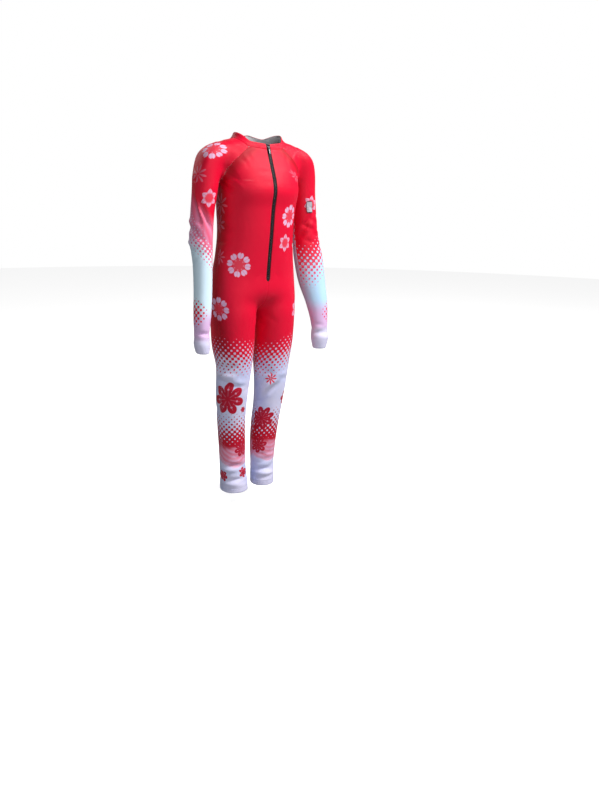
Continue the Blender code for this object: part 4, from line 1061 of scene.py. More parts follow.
def sleeve_print(panel, ink):
    """Sleeves: red above, dots to pale blue on the forearm, a cluster of red dots over the wrist. On the
    right sleeve the pale blue is painted lighter, as painted light.
    """
    graph = knit_graph("print_" + panel)
    u, v = graph.cloth()
    left = panel.endswith("left")
    near = u.most(-0.045).least(0.075)
    if left:
        level = v + near * 0.9
        fade = level.ramp(-0.240, -0.385, smooth=False)
        pink_zone = level.ramp(-0.235, -0.37) * 0.8
    else:
        level = v + near * 1.25
        fade = level.ramp(-0.210, -0.318, smooth=False)
        pink_zone = (v + near * 0.8).ramp(-0.158, -0.205)
    white = dots(graph, u, v, 0.0185 if left else 0.0150, fade)
    white = white.most(fade.ramp(0.78, 1.0))
    streak = graph.noise(graph.join(v * 0.45 + u * 1.15, (u - v) * 0.10), 62.0, 2.0).ramp(0.40, 0.62)
    ground = graph.mix(pink_zone * (streak * 0.45 + 0.5), ink["red"], ink["rose"])
    # Painted light: the right sleeve takes a lighter copy of the pale blue, which stands in for light on it
    light = graph.mix(v.ramp(-0.27, -0.33), ink["lilac"], ink["sky" if left else "sky_pale"])
    light = graph.mix(v.ramp(-0.475, -0.53), light, ink["blush_pale"])
    light = graph.mix(v.ramp(-0.560, -0.585), light, ink["white"])
    colour = graph.mix(white, ground, light)
    low, out = (0.520, 0.004) if left else (0.496, -0.004)
    off = (v + low) * (v + low) / (0.040 * 0.040) + (u - out) * (u - out) / (0.046 * 0.046)
    cluster = dots(graph, u, v, 0.0165, off.ramp(1.25, 0.0, smooth=False) * 0.60)
    colour = graph.mix(cluster, colour, ink["red"])
    colour = strew(graph, u, v, panel, colour, ink)
    graph.paint(colour)
    knit(graph, u, v)
    return graph.material


def plain_knit(name, colour, other):
    graph = knit_graph(name)
    u, v = graph.cloth()
    graph.paint(graph.mix(graph.noise(graph.join(u, v), 14.0, 2.0).ramp(0.4, 0.65), colour, other))
    knit(graph, u, v)
    return graph.material


def inside_knit(name, colour, other):
    """Brushed, unprinted inner face."""
    graph = Graph(name, 0.85, Sheen_Weight=0.35)
    where = graph.place()
    graph.paint(graph.mix(graph.noise(where, 500.0, 3.0).ramp(0.35, 0.65), colour, other))
    graph.bump(graph.noise(where, 900.0, 3.0), 0.0003)
    return graph.material


def thread(name, colour):
    graph = Graph(name, 0.5, Sheen_Weight=0.3)
    where = graph.place()
    shade = graph.noise(where, 2200.0, 1.0).ramp(0.35, 0.65)
    graph.paint(graph.mix(shade, [c * 0.7 for c in colour], colour))
    graph.bump(graph.noise(where, 3500.0, 1.0), 0.0001)
    return graph.material


def woven(name, colour, other, pitch, sheen=0.2):
    """Plain weave of tapes and of the badge."""
    graph = Graph(name, 0.7, Sheen_Weight=sheen, Specular_IOR_Level=0.3)
    u, v = graph.cloth()
    a = (u * (2 * math.pi / pitch)).of("SINE")
    b = (v * (2 * math.pi / pitch)).of("SINE")
    over = (a * b).ramp(-0.6, 0.6)
    uneven = graph.noise(graph.join(u, v), 120.0, 2.0)
    graph.paint(graph.mix((over * 0.6 + uneven * 0.4), colour, other))
    graph.bump(over + uneven * 0.5, pitch * 0.12)
    return graph.material


def enamel(name, colour, edge, metallic=0.35):
    """Painted zip metal and moulded teeth, worn lighter in fine specks."""
    graph = Graph(name, 0.34, Metallic=metallic, Coat_Weight=0.15)
    where = graph.place()
    wear = graph.noise(where, 900.0, 4.0, 0.7).ramp(0.62, 0.74)
    graph.paint(graph.mix(wear * 0.5, colour, edge))
    graph.feed(graph.shader.inputs["Roughness"], graph.noise(where, 500.0, 3.0) * 0.25 + 0.22)
    graph.bump(graph.noise(where, 700.0, 3.0), 0.00008)
    return graph.material


# Modelling helpers

def fresh(kind, name, **options):
    """A new primitive, selected alone, under the name given."""
    if bpy.context.object is not None and bpy.context.object.mode != "OBJECT":
        bpy.ops.object.mode_set(mode="OBJECT")
    bpy.ops.object.select_all(action="DESELECT")
    getattr(bpy.ops.mesh, "primitive_" + kind + "_add")(**options)
    thing = bpy.context.active_object
    thing.name = thing.data.name = name
    return thing


def choose(*things):
    bpy.ops.object.select_all(action="DESELECT")
    for thing in things:
        thing.select_set(True)
    bpy.context.view_layer.objects.active = things[0]


def modify(thing, kind, **settings):
    """Adds a modifier and applies it."""
    choose(thing)
    modifier = thing.modifiers.new(kind.title(), kind)
    for key, value in settings.items():
        setattr(modifier, key, value)
    bpy.ops.object.modifier_apply(modifier=modifier.name)


def settle(thing):
    """Moves the object's place, turn and size into its mesh."""
    choose(thing)
    bpy.ops.object.transform_apply(location=True, rotation=True, scale=True)


def coordinates(mesh):
    flat = np.empty(len(mesh.vertices) * 3)
    mesh.vertices.foreach_get("co", flat)
    return flat.reshape(-1, 3)


def place_mesh(thing, co):
    thing.data.vertices.foreach_set("co", np.asarray(co, float).ravel())
    thing.data.update()


def finish_piece(thing, body, slot, nodes=(), *materials):
    for material in materials:
        thing.data.materials.append(material)
    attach(thing, body)
    if nodes:
        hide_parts(*nodes)
    return thing


def edit_whole(operator, **options):
    """Runs one mesh operator on the whole of the active object."""
    bpy.ops.object.mode_set(mode="EDIT")
    bpy.ops.mesh.select_all(action="SELECT")
    getattr(bpy.ops.mesh, operator)(**options)
    bpy.ops.object.mode_set(mode="OBJECT")


def smooth_over(thing, degrees):
    """Smooth shading, but for edges sharper than the angle given."""
    choose(thing)
    bpy.ops.object.shade_smooth_by_angle(angle=math.radians(degrees))


def cloth_shell(name, grid, closed, wall, materials, smooth=50.0):
    """A thin shell on a grid of surface points. The first closed rows join into rings."""
    rows, columns = grid.along.shape
    thing = fresh("grid", name, x_subdivisions=columns - 1, y_subdivisions=rows - 1, size=1.0)
    flat = coordinates(thing.data)
    k = np.rint((flat[:, 0] + 0.5) * (columns - 1)).astype(int)
    i = np.rint((flat[:, 1] + 0.5) * (rows - 1)).astype(int)
    place_mesh(thing, (grid.points + grid.normals * grid.relief[:, :, None])[i, k])
    layer = thing.data.uv_layers[0]
    layer.name = "cloth"
    loop_vertex = np.empty(len(thing.data.loops), int)
    thing.data.loops.foreach_get("vertex_index", loop_vertex)
    uv = np.stack([grid.u[i, k], grid.v[i, k]], axis=1)[loop_vertex]
    thing.data.uv_layers[0].data.foreach_set("uv", uv.ravel())
    choose(thing)
    if closed:
        edit_whole("remove_doubles", threshold=0.000004)
    face = thing.data.polygons[len(thing.data.polygons) // 2]
    centre = np.array(face.center)
    if np.dot(np.array(face.normal), normals(centre[None])[0]) < 0:
        edit_whole("flip_normals")
    for material in materials:
        thing.data.materials.append(material)
    modify(thing, "SOLIDIFY", thickness=wall, offset=-1.0, use_rim=True, material_offset=1,
           material_offset_rim=0, use_quality_normals=True)
    smooth_over(thing, smooth)
    return thing


def repeat(template, places):
    """One mesh of copies of a template's points and faces, at 4x4 places."""
    co, faces = template
    points = np.concatenate([co @ m[:3, :3].T + m[:3, 3] for m in places])
    every = [tuple(v + i * len(co) for v in face) for i in range(len(places)) for face in faces]
    return points, every


def mesh_piece(name, points, faces, smooth=60.0):
    mesh = bpy.data.meshes.new(name)
    mesh.from_pydata([tuple(p) for p in points], [], faces)
    thing = bpy.data.objects.new(name, mesh)
    bpy.context.scene.collection.objects.link(thing)
    smooth_over(thing, smooth)
    return thing


def template_of(thing):
    """A finished small shape as points and faces, and the shape itself is removed."""
    co = coordinates(thing.data)
    faces = [tuple(face.vertices) for face in thing.data.polygons]
    bpy.data.objects.remove(thing)
    return co, faces


def walk(path, normal, pitch):
    """Evenly spaced places along a path: points, directions and normals."""
    path = np.asarray(path)
    gone = length_along(path)
    at = np.arange(pitch / 2, gone[-1] - pitch / 4, pitch)
    point = points_along(at, gone, path)
    along = points_along(at + pitch * 0.3, gone, path) - points_along(at - pitch * 0.3, gone, path)
    length = np.linalg.norm(along, axis=1)
    good = length > 1e-7
    out = points_along(at, gone, normal)
    return point[good], along[good] / length[good, None], out[good]


def place_matrix(x, y, z, point):
    """4x4 place with the axes and the origin given."""
    place = np.eye(4)
    place[:3, 0], place[:3, 1], place[:3, 2], place[:3, 3] = x, y, z, point
    return place


def frames_on(path, normal, pitch, lean=0.0):
    """4x4 places whose X runs along the path and whose Z stands out of the cloth."""
    places = []
    for point, x, n in zip(*walk(path, normal, pitch)):
        y = np.cross(n, x)
        y /= np.linalg.norm(y)
        z = np.cross(x, y)
        x, y = x * math.cos(lean) + y * math.sin(lean), y * math.cos(lean) - x * math.sin(lean)
        places.append(place_matrix(x, y, z, point))
    return places


class Suit:
    """What the operators share: the grids of the panels and the materials, each made once."""

    grids = {}
    closed = {}
    mats = {}
    badge = None


def measure_suit():
    crotch = crotch_point()
    share = raglan_shares()
    for side, word in ((-1, "right"), (1, "left")):
        armpit = armpit_point(side)
        raglan = raglan_points(side, armpit, share)
        front, back = half_body(side, crotch, armpit, share, raglan)
        sleeve, closed = sleeve_grid(side, armpit, share, raglan)
        dress_panels(front, back, sleeve)
        Suit.grids.update({"front_" + word: front, "back_" + word: back, "sleeve_" + word: sleeve})
        Suit.closed["sleeve_" + word] = closed
        Suit.grids["hem_" + word] = hem_grid(side, crotch)
    Suit.grids["collar"] = collar_grid()


def dress_panels(front, back, sleeve):
    """Sewn edges dip into their seams, and turned edges are rounded."""
    sizes = bpy.context.scene.race_suit
    for grid in (front, back):
        grid.dip(grid.from_end, sizes.seam_dip)
        grid.dip(grid.along, sizes.seam_dip)
        grid.dip(grid.from_top, sizes.seam_dip)
        grid.dip(grid.from_bottom, sizes.seam_dip)
    for distance in (sleeve.along, sleeve.from_end, sleeve.from_top):
        sleeve.dip(distance, sizes.seam_dip)
    low = sleeve.from_bottom
    sleeve.relief += 0.0004 * (1 - smooth_step(low, 0.012, 0.0135)) * smooth_step(low, 0.0, 0.001)
    sleeve.dip(low, 0.0010, 0.0022)
    sleeve.relief -= 0.00035 * np.exp(-((low - CUFF_STITCH) / 0.0012) ** 2)


def hem_grid(side, crotch):
    z = heights(HEM_BOTTOM, HEM_TOP - SEAM_GAP, 0.0022, close_low=True, close_high=True)
    centre = row_centre(z, crotch, side)
    first = np.full(len(z), -math.pi / 2)
    paths = sweep(centre, first, first + 2 * math.pi, side, z, z, [], rays=TUBE_RAYS)
    paths[:, -1] = paths[:, 0]
    rows, along = zip(*(spread_row(path, 60, 0, 0) for path in paths))
    grid = Grid(rows, along, z, "middle")
    sizes = bpy.context.scene.race_suit
    grid.dip(grid.from_top, sizes.seam_dip)
    grid.dip(grid.from_bottom, 0.0011, 0.0024)
    grid.dip(np.minimum(grid.along, grid.from_end), sizes.seam_dip * 0.7)
    grid.relief -= 0.0003 * np.exp(-((grid.from_bottom - 0.0112) / 0.0012) ** 2)
    return grid


def collar_grid():
    """The neckband, from the right edge of the zip round the back of the neck to the left edge."""
    rims = [Suit.grids[name].points[-1] for name in ("front_right", "sleeve_right", "back_right")]
    rims[2] = rims[2][::-1]
    rims += [Suit.grids["back_left"].points[-1], Suit.grids["sleeve_left"].points[-1][::-1],
             Suit.grids["front_left"].points[-1][::-1]]
    line = np.vstack(rims)
    gone = length_along(line)
    at = np.linspace(0, gone[-1], 161)
    line = points_along(at, gone, line)
    for _ in range(12):
        line[1:-1, 2] = (line[:-2, 2] + 2 * line[1:-1, 2] + line[2:, 2]) / 4
    rise = heights(SEAM_GAP, COLLAR_HEIGHT, 0.0020, close_low=True, close_high=True)
    rows, along, v = [], [], []
    for up in rise:
        z = line[:, 2] + up
        centre = NECK.read(z)["y"]
        start = np.stack([0 * z, centre, z], axis=1)
        row = cast(start, np.stack([line[:, 0], line[:, 1] - centre, 0 * z], axis=1))
        for end, side in ((0, -1), (-1, 1)):
            row[end] = front_face(ZIP_HALF_OPEN * side, row[end, 2])
        rows.append(row)
        along.append(length_along(row))
        v.append(0 * z + up)
    grid = Grid(rows, along, np.asarray(v), "middle")
    sizes = bpy.context.scene.race_suit
    grid.dip(grid.from_bottom, sizes.seam_dip)
    grid.dip(grid.from_top, 0.0012, 0.0026)
    grid.dip(np.minimum(grid.along, grid.from_end), sizes.seam_dip)
    grid.relief += 0.0003 * smooth_step(grid.from_bottom, 0.001, 0.004)
    return grid


def make_materials():
    c = bpy.context.scene.race_suit_colours
    ink = {key: tuple(getattr(c, key)) for key in c.keys_used()}
    mats = Suit.mats
    for word in ("right", "left"):
        for part in ("front_", "back_"):
            mats[part + word] = suit_print(part + word, ink)
        mats["sleeve_" + word] = sleeve_print("sleeve_" + word, ink)
    mats["collar"] = plain_knit("print_collar", ink["red"], [x * 0.93 for x in ink["red"]])
    mats["hem"] = plain_knit("print_hem", ink["white"], ink["white_blue"])
    mats["inside"] = inside_knit("inner_face", ink["lining"], [x * 0.9 for x in ink["lining"]])
    mats["red_thread"] = thread("red_thread", [min(1.0, x * 0.8 + 0.01) for x in ink["red"]])
    mats["white_thread"] = thread("white_thread", ink["white"])
    mats["tape"] = woven("tape_weave", ink["black"], [x * 1.6 for x in ink["black"]], 0.0008, sheen=0.0)
    mats["teeth"] = enamel("moulded_teeth", ink["black"], [x * 3 for x in ink["black"]], 0.0)
    mats["metal"] = enamel("black_zip_metal", ink["metal"], [0.09, 0.09, 0.10])
    mats["badge"] = woven("badge_weave", ink["badge"], [x * 0.8 for x in ink["badge"]], 0.0009)
    mats["badge_edge"] = thread("badge_border", ink["badge_edge"])


# Operators, one for each group of pieces

class RACESUIT_OT_panels(bpy.types.Operator):
    """Make the four body panels and the two sleeves as thin printed shells"""
    bl_idname = "race_suit.panels"
    bl_label = "Panels and sleeves"

    def execute(self, context):
        wall = context.scene.race_suit.wall
        measure_suit()
        make_materials()
        for name in CUTS:
            if name.startswith(("hem", "collar")):
                continue
            thing = cloth_shell(name + "_cloth", Suit.grids[name], Suit.closed.get(name, 0), wall,
                                [Suit.mats[name], Suit.mats["inside"]])
            slot = "sleeve_knit" if name.startswith("sleeve") else "suit_" + name
            finish_piece(thing, "suit", slot, [name])
        back_seam_strip(wall + 0.0003)
        return {"FINISHED"}


def back_seam_strip(depth):
    """The seam allowance behind the centre back seam, which keeps light out of the seam."""
    sides = [Suit.grids[name].line(column=FIRST_SEWN, out=-depth)[0]
             for name in ("back_right", "back_left")]
    low = max(side[:, 2].min() for side in sides)
    z = np.linspace(max(low, -0.46), min(side[:, 2].max() for side in sides) - 0.001, 160)
    edges = []
    for side in sides:
        order = np.argsort(side[:, 2])
        edges.append([np.interp(z, side[order, 2], side[order, k]) for k in (0, 1)] + [z])
    points = np.stack(edges).transpose(2, 0, 1).reshape(-1, 3)
    faces = [(2 * i, 2 * i + 1, 2 * i + 3, 2 * i + 2) for i in range(len(z) - 1)]
    strip = mesh_piece("back_seam_allowance", points, faces)
    finish_piece(strip, "suit", "suit_back_right", (), Suit.mats["collar"])


class RACESUIT_OT_bands(bpy.types.Operator):
    """Make the neckband and the two ankle bands"""
    bl_idname = "race_suit.bands"
    bl_label = "Neckband and ankle bands"

    def execute(self, context):
        wall = context.scene.race_suit.wall
        collar = cloth_shell("collar_cloth", Suit.grids["collar"], 0, wall * 1.3,
                             [Suit.mats["collar"], Suit.mats["inside"]], smooth=70.0)
        finish_piece(collar, "suit", "neckband_knit", ["collar"])
        for word in ("right", "left"):
            name = "hem_" + word
            thing = cloth_shell(name + "_cloth", Suit.grids[name], 1, wall * 1.3,
                                [Suit.mats["hem"], Suit.mats["inside"]], smooth=70.0)
            finish_piece(thing, "suit", "ankle_knit", [name])
        return {"FINISHED"}


class RACESUIT_OT_stitches(bpy.types.Operator):
    """Sew the seams, hems and edges with separate raised stitches"""
    bl_idname = "race_suit.stitches"
    bl_label = "Stitches"

    def execute(self, context):
        sizes = context.scene.race_suit
        ball = fresh("uv_sphere", "stitch", segments=6, ring_count=5, radius=0.5)
        ball.scale = (sizes.stitch_length, sizes.stitch_width, sizes.stitch_width * 0.8)
        settle(ball)
        template = template_of(ball)
        red, white = [], []
        for word in ("right", "left"):
            front, back, sleeve = (Suit.grids[part + word] for part in ("front_", "back_", "sleeve_"))
            for grid in (front, back):
                path, n = grid.line(column=LAST_SEWN, out=0.0001)
                for place in frames_on(path, n, sizes.stitch_pitch):
                    (red if place[2, 3] > WHITE_THREAD_FROM else white).append(place)
            open_rows = front.points[:, 0, 2] > ZIP_END
            path, n = front.line(column=FIRST_SEWN, out=0.0001)
            red += frames_on(path[open_rows], n[open_rows], sizes.stitch_pitch)
            closed = Suit.closed["sleeve_" + word]
            for column in (FIRST_SEWN, LAST_SEWN):
                path, n = sleeve.line(column=column, out=0.0001)
                red += frames_on(path[closed:], n[closed:], sizes.stitch_pitch)
            level = int(np.argmin(np.abs(sleeve.from_bottom[:, 0] - CUFF_STITCH)))
            for row in (level, level + 1):
                path, n = sleeve.line(row=row, out=0.0002)
                white += frames_on(path, n, sizes.stitch_pitch)
            hem = Suit.grids["hem_" + word]
            for down in HEM_STITCHES:
                row = int(np.argmin(np.abs(hem.from_bottom[:, 0] - down)))
                path, n = hem.line(row=row, out=0.0002)
                white += frames_on(path, n, sizes.stitch_pitch)
        collar = Suit.grids["collar"]
        row = int(np.argmin(np.abs(collar.from_bottom[:, 0] - COLLAR_STITCH)))
        path, n = collar.line(row=row, out=0.0001)
        red += frames_on(path, n, sizes.stitch_pitch)
        for name, places in (("red", red), ("white", white)):
            points, faces = repeat(template, places)
            thing = mesh_piece("stitches_" + name, points, faces)
            finish_piece(thing, "suit", "suit_front_right", (), Suit.mats[name + "_thread"])
        return {"FINISHED"}


class RACESUIT_OT_zip(bpy.types.Operator):
    """Make the zip's tapes, its row of teeth and its bottom stop"""
    bl_idname = "race_suit.zip"
    bl_label = "Zip"

    def execute(self, context):
        sizes = context.scene.race_suit
        collar_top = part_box("zip_tape_left")[1][2]
        low = ZIP_END + 0.001
        z = np.concatenate((np.linspace(low, collar_top - 0.0008, 120), [collar_top - 0.0002]))
        for side, word in ((-1, "right"), (1, "left")):
            x = np.array([0.00035, 0.0010, 0.0022, 0.0036, 0.0050, 0.0060, 0.0068, 0.0080, 0.0100, 0.0116])
            rows = front_face(x[None, :] * side, z[:, None])
            along = np.tile(x, (len(z), 1))
            tape = Grid(rows, along, z, "start")
            sink = 0.0012 + 0.0010 * smooth_step(x, 0.0052, 0.0072)
            cord = 0.0004 * np.exp(-((x - 0.0030) / 0.0007) ** 2)
            tape.relief -= np.tile(sink - cord, (len(z), 1))
            thing = cloth_shell("tape_" + word, tape, 0, 0.0004, [Suit.mats["tape"], Suit.mats["tape"]])
            finish_piece(thing, "suit", "zip_tape", ["zip_tape_" + word])
        tooth = fresh("cube", "tooth", size=1.0)
        tooth.scale = (0.00082, 0.0030, 0.0010)
        settle(tooth)
        modify(tooth, "BEVEL", width=0.00028, segments=2)
        settle(tooth)
        template = template_of(tooth)
        slider_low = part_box("zip_slider")[0][2]
        z = np.linspace(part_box("zip_chain")[0][2], slider_low + 0.0005, 160)
        path = front_face(0.0, z)
        n = normals(path)
        n[:, 0] = 0
        n /= np.linalg.norm(n, axis=1)[:, None]
        places = []
        for i, place in enumerate(frames_on(path - n * 0.0006, n, sizes.tooth_pitch)):
            side = 1 if i % 2 else -1
            place[:3, 3] += place[:3, 1] * 0.0011 * side
            places.append(place)
        points, faces = repeat(template, places)
        teeth = mesh_piece("zip_teeth", points, faces, smooth=45.0)
        finish_piece(teeth, "suit", "zip_teeth", ["zip_chain"], Suit.mats["teeth"])

        lowest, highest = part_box("zip_stop")
        stop = fresh("cube", "bottom_stop", size=1.0)
        stop.scale = (0.0056, 0.0022, (highest - lowest)[2])
        stop.location = (lowest + highest) / 2
        settle(stop)
        modify(stop, "BEVEL", width=0.0005, segments=3)
        smooth_over(stop, METAL_SMOOTH)
        finish_piece(stop, "suit", "zip_metal", ["zip_stop"], Suit.mats["metal"])
        return {"FINISHED"}


def seat_matrix():
    """Place of the slider: X across, Y up along the zip, Z out of the cloth."""
    collar_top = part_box("zip_tape_left")[1][2] + 0.0006
    z = collar_top - SLIDER_TOP - SLIDER_LENGTH / 2
    seat = front_face(0.0, z)
    out = normals(seat[None])[0]
    out[0] = 0.0
    out /= np.linalg.norm(out)
    up = np.cross(out, [1.0, 0.0, 0.0])
    up = up if up[2] > 0 else -up
    return place_matrix(np.cross(up, out), up, out, seat)


def bar(name, size, centre, bevel, segments=3):
    """A rounded bar in the slider's own directions."""
    thing = fresh("cube", name, size=1.0)
    thing.scale, thing.location = size, centre
    settle(thing)
    modify(thing, "BEVEL", width=bevel, segments=segments)
    return thing


def join_pieces(name, things, place):
    choose(*things)
    bpy.ops.object.join()
    thing = bpy.context.active_object
    thing.name = thing.data.name = name
    co = coordinates(thing.data)
    place_mesh(thing, co @ place[:3, :3].T + place[:3, 3])
    smooth_over(thing, METAL_SMOOTH)
    return thing


class RACESUIT_OT_slider(bpy.types.Operator):
    """Make the zip slider and the pull that hinges on its bridge"""
    bl_idname = "race_suit.slider"
    bl_label = "Slider and pull"

    def execute(self, context):
        place = seat_matrix()
        shell = bar("slider", (0.0070, 0.0086, 0.0013), (0, 0, 0.0006), 0.0004)
        co = coordinates(shell.data)
        co[:, 0] *= 1.0 - 0.26 * smooth_step(-co[:, 1], 0.0, 0.0043)
        place_mesh(shell, co)
        lower = bar("slider_back", (0.0068, 0.0082, 0.0008), (0, 0, -0.0013), 0.0003)
        wedge = bar("slider_wedge", (0.0016, 0.0030, 0.0020), (0, 0.0026, -0.0004), 0.0003)
        posts = [bar("post", (0.0020, 0.0011, 0.0026), (0, y, 0.0025), 0.0003) for y in (0.0025, -0.0025)]
        crown = bar("crown", (0.0020, 0.0060, 0.0010), (0, 0, 0.0036), 0.00045)
        slider = join_pieces("slider_body", [shell, lower, wedge, crown] + posts, place)
        finish_piece(slider, "suit", "zip_metal", ["zip_slider"], Suit.mats["metal"])

        pivot = np.eye(4)
        pivot[2, 3] = 0.0022
        lean = Matrix.Rotation(-PULL_REST_TILT, 4, "X")
        rod = fresh("cylinder", "rod", vertices=16, radius=0.0005, depth=0.0052,
                    rotation=(0, math.pi / 2, 0))
        settle(rod)
        arms = [bar("arm", (0.0011, 0.0050, 0.0010), (x, -0.0021, 0), 0.0003) for x in (0.00210, -0.00210)]
        tab = bar("tab", (0.0054, 0.0150, 0.0010), (0, -0.0117, 0), 0.00035)
        co = coordinates(tab.data)
        end = smooth_step(-co[:, 1], 0.0150, 0.0192)
        co[:, 0] *= 1.0 - 0.22 * end ** 2
        place_mesh(tab, co)
        hole = fresh("cylinder", "hole", vertices=24, radius=0.0012, depth=0.004, location=(0, -0.0160, 0))
        settle(hole)
        modify(tab, "BOOLEAN", object=hole, operation="DIFFERENCE", solver="EXACT")
        bpy.data.objects.remove(hole)
        ribs = [bar("rib", (0.0036, 0.0006, 0.0012), (0, y, 0), 0.00025)
                for y in (-0.0070, -0.0086, -0.0102, -0.0118)]
        matrix = place @ pivot @ np.array(lean)
        pull = join_pieces("pull_tab", [tab, rod] + arms + ribs, matrix)
        finish_piece(pull, "pull", "zip_metal", ["zip_pull"], Suit.mats["metal"])
        return {"FINISHED"}


class RACESUIT_OT_badge(bpy.types.Operator):
    """Make the bare woven badge on the left upper sleeve, with its bound border"""
    bl_idname = "race_suit.badge"
    bl_label = "Sleeve badge"

    def execute(self, context):
        half_w, half_h = BADGE_CUT[0] / 2, BADGE_CUT[1] / 2
        s = np.linspace(-1, 1, 29)
        t = np.linspace(-1, 1, 41)
        grid_s, grid_t = np.meshgrid(s, t)
        narrow = 1 - 0.10 * np.abs(grid_t) ** 9
        low = 1 - 0.06 * np.abs(grid_s) ** 9
        z = BADGE_Z + half_h * grid_t * low
        place = ARM_LEFT.read(z.ravel())
        centre = np.stack([place["x"], place["y"], z.ravel()], axis=1)
        angle = BADGE_TURN + (half_w * grid_s * narrow).ravel() / place["long"]
        heading = np.stack([np.sin(angle), -np.cos(angle), 0 * angle], axis=1)
        points = cast(centre, heading).reshape(grid_s.shape + (3,))
        along = np.tile((s + 1) * half_w, (len(t), 1))
        grid = Grid(points, along, z, "middle")
        edge = np.minimum((1 - np.abs(grid_s)) * half_w, (1 - np.abs(grid_t)) * half_h)
        grid.relief += BADGE_RAISE + BADGE_WALL
        grid.relief += 0.00035 * smooth_step(edge, 0.0021, 0.0014)
        grid.dip(edge, 0.0006, 0.0010)
        thing = cloth_shell("badge", grid, 0, BADGE_WALL * 0.8,
                            [Suit.mats["badge"], Suit.mats["badge_edge"]], 70.0)
        for face in thing.data.polygons:
            if abs(face.center[2] - BADGE_Z) > half_h - 0.0019:
                face.material_index = 1
        finish_piece(thing, "suit", "badge_woven", ["sleeve_badge"])
        Suit.badge = thing
        border, whole = [], slice(None)
        for side in ((whole, 0), (whole, -1), (0, whole), (-1, whole)):
            n = grid.normals[side]
            edge_line = grid.points[side] + n * (BADGE_WALL + BADGE_RAISE)
            border += frames_on(edge_line, n, LOOP_PITCH, LOOP_LEAN)
        ball = fresh("uv_sphere", "loop", segments=6, ring_count=5, radius=0.5)
        ball.scale = (0.0022, 0.0009, 0.0009)
        settle(ball)
        points, faces = repeat(template_of(ball), border)
        rim = mesh_piece("badge_border", points, faces)
        finish_piece(rim, "suit", "badge_woven", (), Suit.mats["badge_edge"])
        return {"FINISHED"}


class RACESUIT_OT_stage(bpy.types.Operator):
    """Set the pale floor, the soft studio lights and the camera"""
    bl_idname = "race_suit.stage"
    bl_label = "Stage"

    def execute(self, context):
        scene = context.scene
        scene.view_settings.view_transform = "Standard"
        floor = fresh("circle", "floor", vertices=96, radius=9.0, fill_type="NGON",
                      location=(0, 0, FLOOR_Z))
        settle(floor)
        graph = Graph("pale_floor", 0.9, Specular_IOR_Level=0.0, Emission_Strength=1.0)
        seen = Value(graph, graph.node("ShaderNodeLightPath").outputs["Is Camera Ray"])
        pale = graph.mix(graph.noise(graph.place(), 3.0, 3.0), (0.94, 0.94, 0.94), (0.92, 0.92, 0.925))
        graph.paint(graph.mix(seen, (0.27, 0.27, 0.27), pale))
        glow = graph.mix(seen, (0.0, 0.0, 0.0), (0.74, 0.74, 0.74))
        graph.feed(graph.shader.inputs["Emission Color"], glow)
        floor.data.materials.append(graph.material)
        world = bpy.data.worlds.new("studio")
        scene.world = world
        world.use_nodes = True
        sky = world.node_tree.nodes["Background"]
        sky.inputs["Color"].default_value = (1.0, 1.0, 1.0, 1.0)
        rays = world.node_tree.nodes.new("ShaderNodeLightPath")
        level = world.node_tree.nodes.new("ShaderNodeMapRange")
        level.inputs["To Min"].default_value, level.inputs["To Max"].default_value = SKY_LIGHT, 1.0
        world.node_tree.links.new(rays.outputs["Is Camera Ray"], level.inputs["Value"])
        world.node_tree.links.new(level.outputs[0], sky.inputs["Strength"])
        for name, place, size, power, colour in LIGHTS:
            light = bpy.data.lights.new(name, "AREA")
            light.shape, light.size, light.energy, light.color = "SQUARE", size, power, colour
            thing = bpy.data.objects.new(name, light)
            scene.collection.objects.link(thing)
            thing.location = place
            aim = LIGHT_AIM - Vector(place)
            thing.rotation_euler = aim.to_track_quat("-Z", "Y").to_euler()
        camera = bpy.data.objects.new("camera", bpy.data.cameras.new("camera"))
        scene.collection.objects.link(camera)
        scene.camera = camera
        camera.data.sensor_fit = "VERTICAL"
        camera.data.sensor_height, camera.data.lens = CAMERA_FILM, CAMERA_LENS
        camera.data.clip_start, camera.data.clip_end = 0.05, 50.0
        heading, pitch, roll = CAMERA_HEADING, CAMERA_PITCH, CAMERA_ROLL
        level = Vector((-math.sin(heading), math.cos(heading), 0.0))
        right = Vector((level.y, -level.x, 0.0))
        ahead = level * math.cos(pitch) - Vector((0, 0, math.sin(pitch)))
        up = right.cross(ahead)
        side = right * math.cos(roll) + up * math.sin(roll)
        top = up * math.cos(roll) - right * math.sin(roll)
        turn = Matrix((side, top, -ahead)).transposed()
        camera.matrix_world = Matrix.Translation(CAMERA_PLACE) @ turn.to_4x4()
        return {"FINISHED"}


def length_property(title, default, low, high):
    return FloatProperty(name=title, default=default, min=low, max=high, precision=5)


class RaceSuitSizes(bpy.types.PropertyGroup):
    """Sizes of the cloth and of its sewing, in metres"""
    wall: length_property("Cloth thickness", 0.0010, 0.0004, 0.0015)
    seam_dip: length_property("Depth of the seams", 0.00055, 0.0, 0.002)
    stitch_pitch: length_property("Stitch pitch", 0.0030, 0.001, 0.01)
    stitch_length: length_property("Stitch length", 0.0024, 0.0005, 0.01)
    stitch_width: length_property("Thread thickness", 0.00042, 0.0001, 0.002)
    tooth_pitch: length_property("Tooth pitch", 0.0013, 0.0008, 0.004)


def colour_property(title, default):
    return FloatVectorProperty(name=title, subtype="COLOR", size=3, min=0.0, max=1.0, default=default)


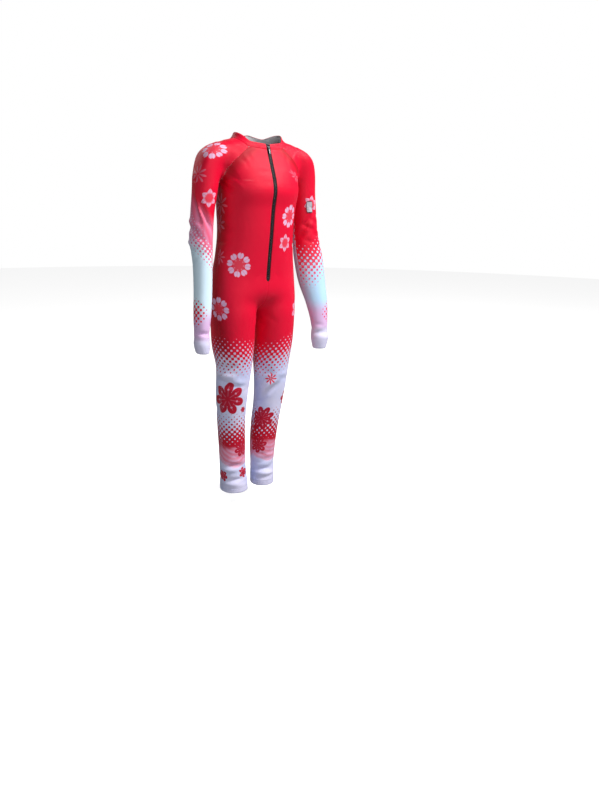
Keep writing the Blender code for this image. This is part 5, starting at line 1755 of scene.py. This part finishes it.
class RaceSuitColours(bpy.types.PropertyGroup):
    """Colours of the print and the trims, with a red darkened by painted shade and a pale blue lightened by
    painted light
    """
    red: colour_property("Red", (0.80, 0.001, 0.033))
    deep: colour_property("Deep red", (0.56, 0.001, 0.022))
    # Painted shade: the darker red that the body panels take towards their side seams
    side: colour_property("Side red of painted shade", (0.40, 0.001, 0.010))
    coral: colour_property("Coral", (0.82, 0.045, 0.085))
    dark: colour_property("Dark flower", (0.50, 0.003, 0.028))
    lilac: colour_property("Lilac white", (0.80, 0.50, 0.72))
    white: colour_property("White", (0.74, 0.72, 0.94))
    white_blue: colour_property("Bluish white", (0.60, 0.64, 0.92))
    sky: colour_property("Pale blue", (0.50, 0.76, 1.0))
    # Painted light: a lighter copy of the pale blue, for the right sleeve only
    sky_pale: colour_property("Pale blue painted lighter", (0.70, 0.88, 1.0))
    blush: colour_property("Pale pink", (0.82, 0.42, 0.62))
    blush_pale: colour_property("Pinkish white", (0.78, 0.52, 0.82))
    pink: colour_property("Pink", (0.80, 0.22, 0.32))
    rose: colour_property("Rose", (0.84, 0.26, 0.44))
    lining: colour_property("Inner face", (0.72, 0.70, 0.72))
    black: colour_property("Tape black", (0.008, 0.005, 0.008))
    metal: colour_property("Zip metal", (0.016, 0.014, 0.018))
    badge: colour_property("Badge", (0.52, 0.54, 0.60))
    badge_edge: colour_property("Badge border", (0.05, 0.05, 0.08))

    def keys_used(self):
        return [key for key in self.bl_rna.properties.keys() if key not in ("rna_type", "name")]


GROUPS = ("panels", "bands", "stitches", "zip", "slider", "badge", "stage")


class RACESUIT_PT_panel(bpy.types.Panel):
    """Sizes and colours, and a button for each group of pieces"""
    bl_label = "Race suit"
    bl_space_type = "VIEW_3D"
    bl_region_type = "UI"
    bl_category = "Race suit"

    def draw(self, context):
        for owner in (context.scene.race_suit, context.scene.race_suit_colours):
            for key in owner.bl_rna.properties.keys():
                if key not in ("rna_type", "name"):
                    self.layout.prop(owner, key)
        for group in GROUPS:
            self.layout.operator("race_suit." + group)


CLASSES = (RaceSuitSizes, RaceSuitColours, RACESUIT_OT_panels, RACESUIT_OT_bands, RACESUIT_OT_stitches,
           RACESUIT_OT_zip, RACESUIT_OT_slider, RACESUIT_OT_badge, RACESUIT_OT_stage, RACESUIT_PT_panel)


def register():
    for cls in CLASSES:
        bpy.utils.register_class(cls)
    bpy.types.Scene.race_suit = PointerProperty(type=RaceSuitSizes)
    bpy.types.Scene.race_suit_colours = PointerProperty(type=RaceSuitColours)


def unregister():
    del bpy.types.Scene.race_suit_colours
    del bpy.types.Scene.race_suit
    for cls in reversed(CLASSES):
        bpy.utils.unregister_class(cls)


def main():
    register()
    for group in GROUPS:
        getattr(bpy.ops.race_suit, group)()


if __name__ == "__main__":
    main()
